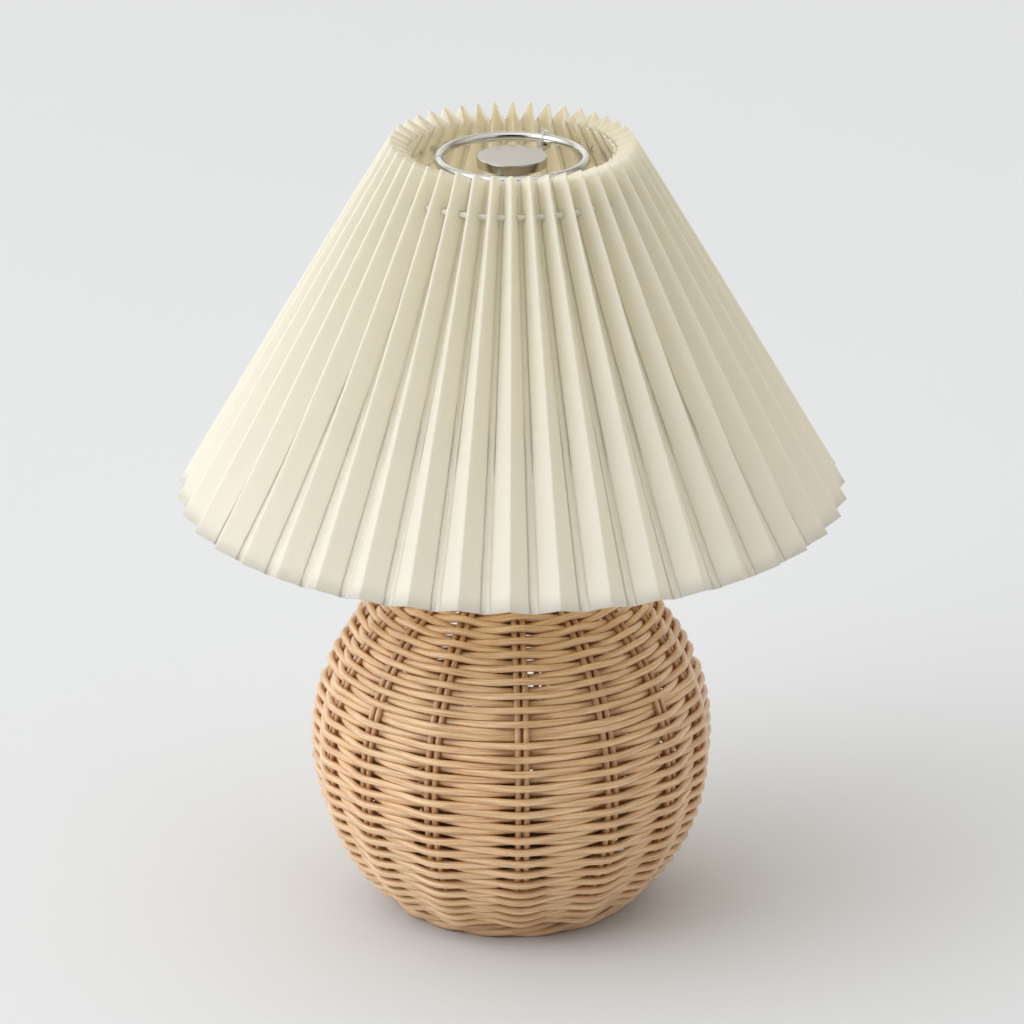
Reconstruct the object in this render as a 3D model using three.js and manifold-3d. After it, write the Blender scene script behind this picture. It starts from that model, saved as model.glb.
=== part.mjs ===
// Table lamp: a woven rattan globe, a lamp holder with bulb and harp, and a pleated shade
// held by a flat finial. Millimetres, +Z up, the front faces -Y. The origin is on the
// surface that the lamp stands on, below the lamp's axis.
import * as THREE from "three";
import { mergeVertices } from "three/addons/utils/BufferGeometryUtils.js";
import Module from "manifold-3d";

const wasm = await Module();
wasm.setup();

// ---------- driving dimensions ----------

const GAP = 0.3; // left between pieces that touch

const GLOBE_RADIUS = 100;
const GLOBE_WAIST_Z = 84; // height of the widest ring
const GLOBE_RISE = 102.5; // waist to the pole above it
const GLOBE_DROP = 105; // waist to the pole below it, which the foot cuts off
const WICKER_THICKNESS = 9;
const GLOBE_MOUTH_RADIUS = 24;
const TOP_BORDER_HEIGHT = 6;

const FOOT_HEIGHT = 8;
const FOOT_INNER_RADIUS = 53.5;
const FOOT_OUTER_RADIUS = 64.5;
const BOTTOM_Z = 9; // underside of the woven bottom, above the foot's hollow
const BOTTOM_THICKNESS = 4;
const BOTTOM_RADIUS = 54.7;

const WEIGHT_RADIUS = 50;
const WEIGHT_THICKNESS = 10;

const PIPE_RADIUS = 5;
const PIPE_BORE_RADIUS = 3.4;
const PIPE_FOOT_Z = 2.5;
const PIPE_HOLE_RADIUS = PIPE_RADIUS + GAP;
const NUT_ACROSS_FLATS = 16;
const NECK_CAP_RADIUS = 29;

const BUSH_Z = 30;
const BUSH_RADIUS = 6;
const BUSH_BORE_RADIUS = 3.6;
const BUSH_LIP_RADIUS = 7.6;

const SHADE_PLEATS = 42;
const SHADE_TOP_Z = 395.5; // outer folds
const SHADE_BOTTOM_Z = 214;
const SHADE_TOP_RADIUS = 60.4;
const SHADE_BOTTOM_RADIUS = 164.2;
const SHADE_TURN = THREE.MathUtils.degToRad(-0.4); // front fold, from the front towards +X
const PANEL_WIDTH = 15; // fold to fold, the same all the way down
const PANEL_THICKNESS = 0.7;
const SKIN_STEPS = 5; // from the gather cord to the bottom edge

const CORD_FROM_TOP = 18.6; // along the slope, from the top edge to the gather cord
const CORD_SHARE = 0.66; // of the way from the outer folds to the inner ones
const CORD_RADIUS = 1.5;
const CORD_HOLE_RADIUS = 2.4;

const RING_RADIUS = 35.6; // middle of the wire
const RING_WIRE_RADIUS = 2.3;
const RING_BELOW_TOP = 11;
const BAR_TURN = THREE.MathUtils.degToRad(-28);
const BAR_WIDTH = 3.5;
const BAR_THICKNESS = 2;
const BAR_EYE_RADIUS = 9;
const TIE_COUNT = 3;
const TIE_FIRST_PLEAT = 4;
const TIE_RADIUS = 0.5;

const FINIAL_RADIUS = 17;
const FINIAL_THICKNESS = 5.1;
const FINIAL_BELOW_TOP = 9.4; // shade's top edge to the disc's top face
const FINIAL_STEM_RADIUS = 6;

const STUD_RADIUS = 3;
const STUD_HOLE_RADIUS = STUD_RADIUS + 0.4;

const HARP_WIRE_RADIUS = 1.75;
const HARP_LEG_X = 30;
const HARP_TOP_Z = 372; // middle of the wire
const FERRULE_LENGTH = 11;

const HOLDER_RADIUS = 15.5; // outside of the shell
const HOLDER_WALL = 0.8;
const BULB_RADIUS = 30;
const BULB_SCREW_RADIUS = 12.8;

// ---------- heights up the middle of the lamp ----------

// Height at which an upper half-ellipse of this rise and half-width is "radius" from the axis.
function aboveWaist(rise, halfWidth, radius) {
  return GLOBE_WAIST_Z + rise * Math.sqrt(1 - (radius / halfWidth) ** 2);
}

const bottomTopZ = BOTTOM_Z + BOTTOM_THICKNESS;
const weightZ = bottomTopZ + GAP;
const weightTopZ = weightZ + WEIGHT_THICKNESS;
const mouthZ = aboveWaist(GLOBE_RISE, GLOBE_RADIUS, GLOBE_MOUTH_RADIUS);
const topBorderZ = mouthZ + GAP;
const capZ = topBorderZ + TOP_BORDER_HEIGHT + GAP;
const capHeight = 4;
const spacerZ = capZ + capHeight + GAP;
const spacerHeight = 9.5;
const saddleZ = spacerZ + spacerHeight + GAP;
const saddleThickness = 2;
const holderZ = saddleZ + saddleThickness + GAP;
const shellZ = holderZ + 4;
const shellHeight = 52;
const shellTopZ = shellZ + shellHeight;
const bodyZ = shellZ + 1;
const bodyHeight = 16;
const screwShellZ = bodyZ + bodyHeight + GAP;
const screwShellHeight = 26;
const knobZ = bodyZ + 11.5;
const contactZ = screwShellZ + GAP;
const bulbZ = contactZ + 2.5; // underside of the bulb's contact
const finialTopZ = SHADE_TOP_Z - FINIAL_BELOW_TOP;
const finialDiscZ = finialTopZ - FINIAL_THICKNESS;
const studPlateZ = HARP_TOP_Z + HARP_WIRE_RADIUS + GAP;
const studPlateTopZ = studPlateZ + 1.75;
const barZ = studPlateTopZ + GAP;
const finialStemZ = barZ + BAR_THICKNESS + GAP;
const ringZ = SHADE_TOP_Z - RING_BELOW_TOP;

// ---------- materials ----------

function material(colour, roughness, metalness = 0) {
  return () => new THREE.MeshStandardMaterial({ color: colour, roughness, metalness });
}

const RATTAN = material(0xc69a6a, 0.6);
const RATTAN_DARK = material(0xb58a5c, 0.65);
const IVORY = material(0xf1ecdc, 0.75);
const CORD = material(0xd9d9d4, 0.8);
const NYLON = material(0xe6ecec, 0.15);
const NICKEL = material(0xb4b1ab, 0.28, 1);
const CHROME = material(0xd0d0ce, 0.12, 1);
const BRASS = material(0xb08d4f, 0.35, 1);
const IRON = material(0x3b3b3c, 0.7, 0.6);
const BAKELITE = material(0x16130f, 0.4);
const CARD = material(0x6f5a42, 0.9);
const OPAL_GLASS = material(0xf4f4f0, 0.25);
const BUSH_PLASTIC = material(0xe9e2d2, 0.5);

// ---------- shape helpers ----------

const lamp = new THREE.Group();

function add(name, geometry, makeMaterial) {
  const mesh = new THREE.Mesh(geometry, makeMaterial());
  mesh.name = name;
  lamp.add(mesh);
  return mesh;
}

// A body of revolution about +Z. The profile is a list of [radius, height], which closes on
// itself, counter-clockwise with the radius to the right.
function revolve(profile, segments = 24) {
  const closed = [...profile, profile[0]].map(([r, z]) => new THREE.Vector2(r, z));
  return new THREE.LatheGeometry(closed, segments).rotateX(Math.PI / 2);
}

// A tube or, with no bore, a solid disc standing on z.
function ring(innerRadius, outerRadius, z, height, segments = 24) {
  return revolve(
    [
      [innerRadius, z],
      [outerRadius, z],
      [outerRadius, z + height],
      [innerRadius, z + height],
    ],
    segments,
  );
}

function torus(radius, wireRadius, z, sides, segments) {
  return new THREE.TorusGeometry(radius, wireRadius, sides, segments).translate(0, 0, z);
}

function cylinder(radius, height, segments = 20) {
  return new THREE.CylinderGeometry(radius, radius, height, segments).rotateX(Math.PI / 2);
}

function box(fromX, toX, fromY, toY, fromZ, toZ) {
  const size = [toX - fromX, toY - fromY, toZ - fromZ];
  const middle = [(fromX + toX) / 2, (fromY + toY) / 2, (fromZ + toZ) / 2];
  return new THREE.BoxGeometry(...size).translate(...middle);
}

function circle(radius, sides) {
  const outline = new THREE.Shape();
  outline.absarc(0, 0, radius, 0, 2 * Math.PI);
  return new THREE.Shape(outline.getPoints(sides / 2).slice(0, sides));
}

// A hexagon nut on the pipe, standing on z.
function nut(z, height) {
  const prism = cylinder(NUT_ACROSS_FLATS / Math.sqrt(3), height, 6);
  const hole = cylinder(PIPE_HOLE_RADIUS, 2 * height, 20);
  return cut(prism, hole).translate(0, 0, z + height / 2);
}

function solid(geometry) {
  const bare = new THREE.BufferGeometry();
  bare.setAttribute("position", geometry.getAttribute("position"));
  bare.setIndex(geometry.index);
  const merged = mergeVertices(bare, 1e-4);
  const mesh = new wasm.Mesh({
    numProp: 3,
    vertProperties: new Float32Array(merged.attributes.position.array),
    triVerts: new Uint32Array(merged.index.array),
  });
  return new wasm.Manifold(mesh);
}

function geometryOf(body) {
  const mesh = body.getMesh();
  const geometry = new THREE.BufferGeometry();
  geometry.setAttribute("position", new THREE.BufferAttribute(mesh.vertProperties, 3));
  geometry.setIndex(new THREE.BufferAttribute(mesh.triVerts, 1));
  geometry.computeVertexNormals();
  return geometry;
}

function cut(geometry, ...tools) {
  return geometryOf(tools.reduce((body, tool) => body.subtract(solid(tool)), solid(geometry)));
}

function join(...geometries) {
  return geometryOf(geometries.map(solid).reduce((a, b) => a.add(b)));
}

// Points from one height to another on the meridian of the globe's outside or inside.
function meridian(inset, fromZ, toZ, count) {
  const points = [];
  const angleAt = (z) => {
    const reach = (z > GLOBE_WAIST_Z ? GLOBE_RISE : GLOBE_DROP) - inset;
    return Math.asin((z - GLOBE_WAIST_Z) / reach);
  };
  for (let i = 0; i <= count; i++) {
    const angle = THREE.MathUtils.lerp(angleAt(fromZ), angleAt(toZ), i / count);
    const reach = (angle > 0 ? GLOBE_RISE : GLOBE_DROP) - inset;
    const radius = (GLOBE_RADIUS - inset) * Math.cos(angle);
    points.push([radius, GLOBE_WAIST_Z + reach * Math.sin(angle)]);
  }
  return points;
}

// ---------- woven base ----------

function wickerGlobe() {
  const innerMouthZ = aboveWaist(
    GLOBE_RISE - WICKER_THICKNESS,
    GLOBE_RADIUS - WICKER_THICKNESS,
    GLOBE_MOUTH_RADIUS,
  );
  const outside = meridian(0, FOOT_HEIGHT + GAP, mouthZ, 12);
  const inside = meridian(WICKER_THICKNESS, FOOT_HEIGHT + GAP, innerMouthZ, 8).reverse();
  const hole = cylinder(BUSH_RADIUS + GAP, GLOBE_RADIUS).translate(0, 0, GLOBE_RADIUS);
  return cut(revolve([...outside, ...inside], 30), placeBush(hole));
}

function footBorder() {
  const middle = (FOOT_INNER_RADIUS + FOOT_OUTER_RADIUS) / 2;
  const halfWidth = (FOOT_OUTER_RADIUS - FOOT_INNER_RADIUS) / 2;
  const flat = halfWidth * 0.6;
  return revolve(
    [
      [middle - flat, 0],
      [middle + flat, 0],
      [FOOT_OUTER_RADIUS, FOOT_HEIGHT * 0.45],
      [middle + flat, FOOT_HEIGHT],
      [middle - flat, FOOT_HEIGHT],
      [FOOT_INNER_RADIUS, FOOT_HEIGHT * 0.45],
    ],
    36,
  );
}

function topBorder() {
  const inner = GLOBE_MOUTH_RADIUS - 3;
  const outer = GLOBE_MOUTH_RADIUS + 7;
  const round = 2;
  return revolve([
    [inner + round, topBorderZ],
    [outer - round, topBorderZ],
    [outer, topBorderZ + TOP_BORDER_HEIGHT / 2],
    [outer - round, topBorderZ + TOP_BORDER_HEIGHT],
    [inner + round, topBorderZ + TOP_BORDER_HEIGHT],
    [inner, topBorderZ + TOP_BORDER_HEIGHT / 2],
  ]);
}

// Turns a shape along +Z onto the bush's level axis, which points out of the lamp's back.
function placeBush(geometry) {
  return geometry.rotateX(-Math.PI / 2).translate(0, 0, BUSH_Z);
}

function cableBush() {
  const topZ = BUSH_Z + BUSH_LIP_RADIUS;
  const outerWall = GLOBE_RADIUS * Math.sqrt(1 - ((GLOBE_WAIST_Z - topZ) / GLOBE_DROP) ** 2);
  const lipStart = outerWall + GAP;
  const barrelStart = outerWall - 2.4 * WICKER_THICKNESS;
  return placeBush(
    revolve([
      [BUSH_BORE_RADIUS, barrelStart],
      [BUSH_RADIUS, barrelStart],
      [BUSH_RADIUS, lipStart],
      [BUSH_LIP_RADIUS, lipStart],
      [BUSH_LIP_RADIUS, lipStart + 1.6],
      [BUSH_LIP_RADIUS - 0.8, lipStart + 2.4],
      [BUSH_BORE_RADIUS + 0.8, lipStart + 2.4],
      [BUSH_BORE_RADIUS, lipStart + 1.6],
    ]),
  );
}

function addBase() {
  add("wicker_globe", wickerGlobe(), RATTAN);
  add("foot_border", footBorder(), RATTAN_DARK);
  add("top_border", topBorder(), RATTAN_DARK);
  const bottom = ring(PIPE_HOLE_RADIUS, BOTTOM_RADIUS, BOTTOM_Z, BOTTOM_THICKNESS, 36);
  add("woven_bottom", bottom, RATTAN);
  const weight = ring(PIPE_HOLE_RADIUS, WEIGHT_RADIUS, weightZ, WEIGHT_THICKNESS, 36);
  add("base_weight", weight, IRON);
  add("cable_bush", cableBush(), BUSH_PLASTIC);
}

// ---------- pipe and neck ----------

function addPipe() {
  const pipeTop = holderZ + 3;
  const pipe = ring(PIPE_BORE_RADIUS, PIPE_RADIUS, PIPE_FOOT_Z, pipeTop - PIPE_FOOT_Z, 20);
  const cableEntry = placeBush(cylinder(3, 12, 16).translate(0, 0, 8)).translate(0, 0, 12);
  add("lamp_pipe", cut(pipe, cableEntry), NICKEL);

  const washerThickness = 1.5;
  const washerZ = BOTTOM_Z - GAP - washerThickness;
  add("bottom_washer", ring(PIPE_HOLE_RADIUS, 15, washerZ, washerThickness), NICKEL);
  const thinNut = 3;
  add("bottom_nut", nut(washerZ - GAP - thinNut, thinNut), NICKEL);
  add("weight_nut", nut(weightTopZ + GAP, 5), NICKEL);

  const rim = NECK_CAP_RADIUS;
  const neckCap = revolve(
    [
      [PIPE_HOLE_RADIUS, capZ + capHeight - 1.2],
      [12, capZ + capHeight - 1.2],
      [rim - 3, capZ + 0.8],
      [rim - 1, capZ],
      [rim, capZ],
      [rim, capZ + 0.8],
      [rim - 2, capZ + 2.2],
      [13, capZ + capHeight],
      [PIPE_HOLE_RADIUS, capZ + capHeight],
    ],
    24,
  );
  add("neck_cap", neckCap, NICKEL);
  add("neck_spacer", ring(PIPE_HOLE_RADIUS, 7, spacerZ, spacerHeight, 24), NICKEL);
}

// ---------- lamp holder, switch and bulb ----------

const linerOuter = HOLDER_RADIUS - HOLDER_WALL - GAP;
const linerInner = linerOuter - 0.5;
const bodyRadius = linerInner - GAP;
const screwShellInner = BULB_SCREW_RADIUS + 0.3;
const bodyFlatX = 9.5; // the flats that the terminal screws sit on
const spindleRadius = 2;

function spindleHole(depth, fromAxis) {
  return cylinder(spindleRadius + GAP, depth, 16)
    .rotateX(Math.PI / 2)
    .translate(0, -fromAxis, knobZ);
}

function holderCap() {
  const wall = 1;
  const outer = HOLDER_RADIUS + wall + GAP;
  const inner = HOLDER_RADIUS + GAP;
  const height = 13;
  return revolve(
    [
      [PIPE_HOLE_RADIUS, holderZ],
      [9, holderZ],
      [outer, holderZ + 3.5],
      [outer, holderZ + height],
      [inner, holderZ + height],
      [inner, shellZ - GAP],
      [PIPE_HOLE_RADIUS, shellZ - GAP],
    ],
    28,
  );
}

function holderBody() {
  const round = ring(PIPE_BORE_RADIUS, bodyRadius, bodyZ, bodyHeight, 24);
  const flats = [0, Math.PI].map((turn) =>
    box(bodyFlatX, bodyRadius + 1, -5, 5, bodyZ + 2, bodyZ + bodyHeight - 2).rotateZ(turn),
  );
  return cut(round, ...flats, spindleHole(10, bodyRadius));
}

function terminalScrew(side) {
  const headHeight = 2;
  const head = cylinder(2.8, headHeight, 20);
  const slot = box(-3, 3, -0.4, 0.4, 0.4, headHeight);
  return cut(head, slot)
    .rotateY((side * Math.PI) / 2)
    .translate(side * (bodyFlatX + GAP + headHeight / 2), 0, bodyZ + bodyHeight / 2);
}

function addHolder() {
  add("socket_cap", holderCap(), BRASS);
  const beadRadius = HOLDER_RADIUS + 1.2;
  const shell = revolve(
    [
      [HOLDER_RADIUS - HOLDER_WALL, shellZ],
      [HOLDER_RADIUS, shellZ],
      [HOLDER_RADIUS, shellTopZ - 3],
      [beadRadius, shellTopZ - 2],
      [beadRadius, shellTopZ - 0.6],
      [HOLDER_RADIUS, shellTopZ],
      [HOLDER_RADIUS - HOLDER_WALL, shellTopZ],
    ],
    28,
  );
  const hole = spindleHole(12, HOLDER_RADIUS);
  add("socket_shell", cut(shell, hole), BRASS);
  const liner = ring(linerInner, linerOuter, shellZ + 0.5, shellHeight - 3, 28);
  add("socket_liner", cut(liner, hole), CARD);
  add("socket_body", holderBody(), BAKELITE);
  const screwShell = revolve(
    [
      [4, screwShellZ],
      [bodyRadius, screwShellZ],
      [bodyRadius, screwShellZ + screwShellHeight],
      [screwShellInner, screwShellZ + screwShellHeight],
      [screwShellInner, screwShellZ + 0.6],
      [4, screwShellZ + 0.6],
    ],
    24,
  );
  add("socket_screw_shell", screwShell, BRASS);
  const contact = box(-2.5, 2.5, -1.2, 1.2, contactZ, contactZ + 2);
  add("socket_contact", contact, BRASS);
  add("terminal_screw_left", terminalScrew(-1), BRASS);
  add("terminal_screw_right", terminalScrew(1), BRASS);
}

function addSwitch() {
  const spindleEnd = bodyRadius - 4;
  const knobBack = HOLDER_RADIUS + 3.3;
  const knobLength = 12;
  const spindle = cylinder(spindleRadius, knobBack + 6 - spindleEnd, 16)
    .rotateX(Math.PI / 2)
    .translate(0, -(knobBack + 6 + spindleEnd) / 2, knobZ);
  add("switch_spindle", spindle, BRASS);

  const grip = revolve(
    [
      [spindleRadius + GAP, 0],
      [3.4, 0],
      [3.4, 2],
      [5, 3.5],
      [5, knobLength - 1],
      [4, knobLength],
      [0, knobLength],
      [0, 6 + GAP],
      [spindleRadius + GAP, 6 + GAP],
    ],
    20,
  );
  const flats = [0, Math.PI].map((turn) => box(3.2, 6, -6, 6, 5, knobLength + 1).rotateZ(turn));
  const knob = cut(grip, ...flats)
    .rotateX(Math.PI / 2)
    .translate(0, -knobBack, knobZ);
  add("switch_knob", knob, BAKELITE);
}

function bulbOutline(inset) {
  const neckZ = bulbZ + 21;
  const middleZ = bulbZ + 66;
  const radius = BULB_RADIUS - inset;
  const neckRadius = 12 - inset;
  const points = [[neckRadius, neckZ]];
  const flareSteps = 5;
  for (let i = 1; i < flareSteps; i++) {
    const share = i / flareSteps;
    const swell = THREE.MathUtils.smoothstep(share, 0.05, 1.05);
    const flareZ = THREE.MathUtils.lerp(neckZ, middleZ, share);
    points.push([THREE.MathUtils.lerp(neckRadius, radius, swell), flareZ]);
  }
  const domeSteps = 5;
  for (let i = 0; i <= domeSteps; i++) {
    const angle = (i / domeSteps) * (Math.PI / 2);
    points.push([radius * Math.cos(angle), middleZ + radius * Math.sin(angle)]);
  }
  points[points.length - 1][0] = 0;
  return points;
}

function addBulb() {
  const glass = revolve([...bulbOutline(0), ...bulbOutline(1).reverse()], 20);
  add("bulb_glass", glass, OPAL_GLASS);

  const threads = [];
  const turns = 3;
  const pitch = 4.2;
  const threadZ = bulbZ + 4;
  for (let i = 0; i < turns; i++) {
    threads.push([BULB_SCREW_RADIUS - 0.9, threadZ + i * pitch]);
    threads.push([BULB_SCREW_RADIUS, threadZ + (i + 0.5) * pitch]);
  }
  const rimZ = bulbZ + 21 - GAP;
  const cap = revolve(
    [
      [3.6, bulbZ + 1.2],
      [6, bulbZ + 1.2],
      [BULB_SCREW_RADIUS - 0.9, bulbZ + 3],
      ...threads,
      [BULB_SCREW_RADIUS - 0.9, threadZ + turns * pitch],
      [BULB_SCREW_RADIUS - 0.4, rimZ],
      [BULB_SCREW_RADIUS - 1.4, rimZ],
      [BULB_SCREW_RADIUS - 1.9, bulbZ + 4.5],
      [3.6, bulbZ + 2.4],
    ],
    18,
  );
  add("bulb_cap", cap, NICKEL);
  const contact = revolve(
    [
      [0, bulbZ],
      [2, bulbZ],
      [3.3, bulbZ + 1],
      [3.3, bulbZ + 2.2],
      [0, bulbZ + 2.2],
    ],
    20,
  );
  add("bulb_contact", contact, BRASS);
}

// ---------- harp ----------

const harpFootZ = saddleZ + saddleThickness + 4;
const lugTopZ = harpFootZ + 13;
const lugInnerX = HARP_LEG_X + GAP / 2;
const lugOuterX = lugInnerX + 1.3;

function harpSaddle() {
  const halfWidth = 8.5;
  const wideX = 9;
  const lugHalfWidth = 1.4;
  const plate = new THREE.Shape();
  plate.moveTo(-lugOuterX, -lugHalfWidth);
  plate.lineTo(-wideX, -halfWidth);
  plate.lineTo(wideX, -halfWidth);
  plate.lineTo(lugOuterX, -lugHalfWidth);
  plate.lineTo(lugOuterX, lugHalfWidth);
  plate.lineTo(wideX, halfWidth);
  plate.lineTo(-wideX, halfWidth);
  plate.lineTo(-lugOuterX, lugHalfWidth);
  plate.closePath();
  const hole = new THREE.Path();
  hole.absarc(0, 0, PIPE_HOLE_RADIUS, 0, 2 * Math.PI);
  plate.holes.push(hole);
  const flat = new THREE.ExtrudeGeometry(plate, {
    depth: saddleThickness,
    bevelEnabled: false,
    curveSegments: 12,
  }).translate(0, 0, saddleZ);
  const lugFootZ = saddleZ + saddleThickness / 2;
  const lugs = [0, Math.PI].map((turn) =>
    box(lugInnerX, lugOuterX, -lugHalfWidth, lugHalfWidth, lugFootZ, lugTopZ).rotateZ(turn),
  );
  return join(flat, ...lugs);
}

function harpBow() {
  const half = [
    [HARP_LEG_X, harpFootZ],
    [HARP_LEG_X, harpFootZ + 13],
    [HARP_LEG_X, harpFootZ + 27],
    [HARP_LEG_X + 6, harpFootZ + 48],
    [HARP_LEG_X + 11, harpFootZ + 75],
    [HARP_LEG_X + 10, harpFootZ + 104],
    [HARP_LEG_X + 1, harpFootZ + 133],
    [HARP_LEG_X - 11, HARP_TOP_Z - 6],
    [HARP_LEG_X - 22, HARP_TOP_Z],
  ];
  const points = [...half, [0, HARP_TOP_Z], ...half.map(([x, z]) => [-x, z]).reverse()];
  const path = new THREE.CatmullRomCurve3(
    points.map(([x, z]) => new THREE.Vector3(x, 0, z)),
    false,
    "centripetal",
  );
  const wire = new THREE.ExtrudeGeometry(circle(HARP_WIRE_RADIUS, 6), {
    steps: 44,
    extrudePath: path,
    bevelEnabled: false,
  });
  const boss = cylinder(7, 2 * HARP_WIRE_RADIUS, 20).translate(0, 0, HARP_TOP_Z);
  const rivetHole = cylinder(2.2, 20, 16).translate(0, 0, HARP_TOP_Z);
  const lugSides = [0, Math.PI].map((turn) =>
    box(lugInnerX - GAP, lugOuterX + 1, -3, 3, harpFootZ - 1, lugTopZ + GAP).rotateZ(turn),
  );
  return cut(join(wire, boss), rivetHole, ...lugSides);
}

function addHarp() {
  add("harp_saddle", harpSaddle(), NICKEL);
  add("harp_bow", harpBow(), NICKEL);
  for (const [name, side] of [
    ["harp_ferrule_left", -1],
    ["harp_ferrule_right", 1],
  ]) {
    const ferrule = ring(2.4, 3.5, lugTopZ - FERRULE_LENGTH + 1, FERRULE_LENGTH, 20);
    add(name, ferrule.translate(side * HARP_LEG_X, 0, 0), NICKEL);
  }
  const rivetRadius = 1.9;
  const headZ = HARP_TOP_Z - HARP_WIRE_RADIUS - GAP;
  const studTopZ = finialTopZ - 1.8;
  const stud = revolve(
    [
      [0, headZ - 1.5],
      [2.2, headZ - 1.5],
      [3.4, headZ],
      [rivetRadius, headZ],
      [rivetRadius, studPlateZ],
      [8, studPlateZ],
      [8, studPlateTopZ],
      [STUD_RADIUS, studPlateTopZ],
      [STUD_RADIUS, studTopZ - 0.8],
      [STUD_RADIUS - 0.8, studTopZ],
      [0, studTopZ],
    ],
    24,
  );
  add("harp_swivel_stud", stud, BRASS);
}

// ---------- pleated shade ----------

const slope = Math.atan2(SHADE_BOTTOM_RADIUS - SHADE_TOP_RADIUS, SHADE_TOP_Z - SHADE_BOTTOM_Z);

// How far an inner fold lies behind the outer folds, measured square to the slope, where the
// outer folds are at this radius. The panel between them is always PANEL_WIDTH wide.
function pleatDepth(outerRadius) {
  const spread = 1 - Math.cos(Math.PI / SHADE_PLEATS);
  const lean = outerRadius * Math.cos(slope) * spread;
  return lean + Math.sqrt(lean ** 2 - 2 * outerRadius ** 2 * spread + PANEL_WIDTH ** 2);
}

// A point [radius, height] of a fold: down the slope from the top edge by "down", and behind
// the outer folds by "behind", both along and square to the slope.
function foldPoint(down, behind) {
  return [
    SHADE_TOP_RADIUS + down * Math.sin(slope) - behind * Math.cos(slope),
    SHADE_TOP_Z - down * Math.cos(slope) - behind * Math.sin(slope),
  ];
}

// Half the panel's thickness, measured square to the slope rather than to the panel.
function skin(outerRadius) {
  const depth = pleatDepth(outerRadius);
  return ((PANEL_THICKNESS / 2) * PANEL_WIDTH) / Math.sqrt(PANEL_WIDTH ** 2 - depth ** 2);
}

// The zigzag skin as one closed surface. Its points lie on the folds, at levels down the slope,
// once on the outer side of the skin and once on the inner side.
function pleatedSkin() {
  const folds = 2 * SHADE_PLEATS;
  const length = (SHADE_TOP_Z - SHADE_BOTTOM_Z) / Math.cos(slope);
  const levels = [0];
  for (let i = 0; i <= SKIN_STEPS; i++) {
    levels.push(THREE.MathUtils.lerp(CORD_FROM_TOP, length, i / SKIN_STEPS));
  }
  const positions = [];
  for (const side of [-1, 1]) {
    for (let fold = 0; fold < folds; fold++) {
      const angle = SHADE_TURN + (fold * Math.PI) / SHADE_PLEATS;
      for (const down of levels) {
        const outerRadius = SHADE_TOP_RADIUS + down * Math.sin(slope);
        const behind = fold % 2 === 0 ? 0 : pleatDepth(outerRadius);
        const [radius, height] = foldPoint(down, behind + side * skin(outerRadius));
        positions.push(radius * Math.sin(angle), -radius * Math.cos(angle), height);
      }
    }
  }
  const rows = levels.length;
  const outside = (fold, row) => (fold % folds) * rows + row;
  const inside = (fold, row) => folds * rows + outside(fold, row);
  const triangles = [];
  const addQuad = (a, b, c, d) => triangles.push(a, b, c, a, c, d);
  for (let fold = 0; fold < folds; fold++) {
    for (let row = 0; row < rows - 1; row++) {
      // The panels twist, so both sides of the skin are split along the same diagonal, from
      // the outer fold above to the inner fold below.
      const corners = [
        [fold, row],
        [fold, row + 1],
        [fold + 1, row + 1],
        [fold + 1, row],
      ];
      const turned = fold % 2 === 0 ? corners : [...corners.slice(1), corners[0]];
      addQuad(...turned.map(([f, r]) => outside(f, r)));
      const [first, ...others] = turned.map(([f, r]) => inside(f, r));
      addQuad(first, ...others.reverse());
    }
    const last = rows - 1;
    addQuad(outside(fold, 0), outside(fold + 1, 0), inside(fold + 1, 0), inside(fold, 0));
    const next = fold + 1;
    addQuad(outside(fold, last), inside(fold, last), inside(next, last), outside(next, last));
  }
  const skinGeometry = new THREE.BufferGeometry();
  skinGeometry.setAttribute("position", new THREE.Float32BufferAttribute(positions, 3));
  return skinGeometry.setIndex(triangles);
}

const cordLevelRadius = SHADE_TOP_RADIUS + CORD_FROM_TOP * Math.sin(slope);
const cordBehind = CORD_SHARE * pleatDepth(cordLevelRadius);
const [cordRadius, cordZ] = foldPoint(CORD_FROM_TOP, cordBehind);

function carrierBar() {
  const half = BAR_WIDTH / 2;
  const flatEnd = 20;
  const riseEnd = 29;
  const tip = RING_RADIUS + 1;
  const tipZ = ringZ - RING_WIRE_RADIUS - GAP - BAR_THICKNESS;
  const side = [
    [-tip, tipZ],
    [-riseEnd, tipZ],
    [-flatEnd, barZ],
    [flatEnd, barZ],
    [riseEnd, tipZ],
    [tip, tipZ],
  ];
  const upperSide = side.map(([x, z]) => [x, z + BAR_THICKNESS]);
  const corners = [...side, ...upperSide.reverse()].map(([x, z]) => new THREE.Vector2(x, z));
  const strip = new THREE.ExtrudeGeometry(new THREE.Shape(corners), {
    depth: BAR_WIDTH,
    bevelEnabled: false,
  })
    .rotateX(Math.PI / 2)
    .translate(0, half, 0);
  const eyeZ = barZ + BAR_THICKNESS / 2;
  const eye = cylinder(BAR_EYE_RADIUS, BAR_THICKNESS, 28).translate(0, 0, eyeZ);
  const hole = cylinder(STUD_HOLE_RADIUS, 10, 20).translate(0, 0, barZ);
  return cut(join(strip, eye), hole).rotateZ(Math.PI / 2 + BAR_TURN);
}

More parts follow.
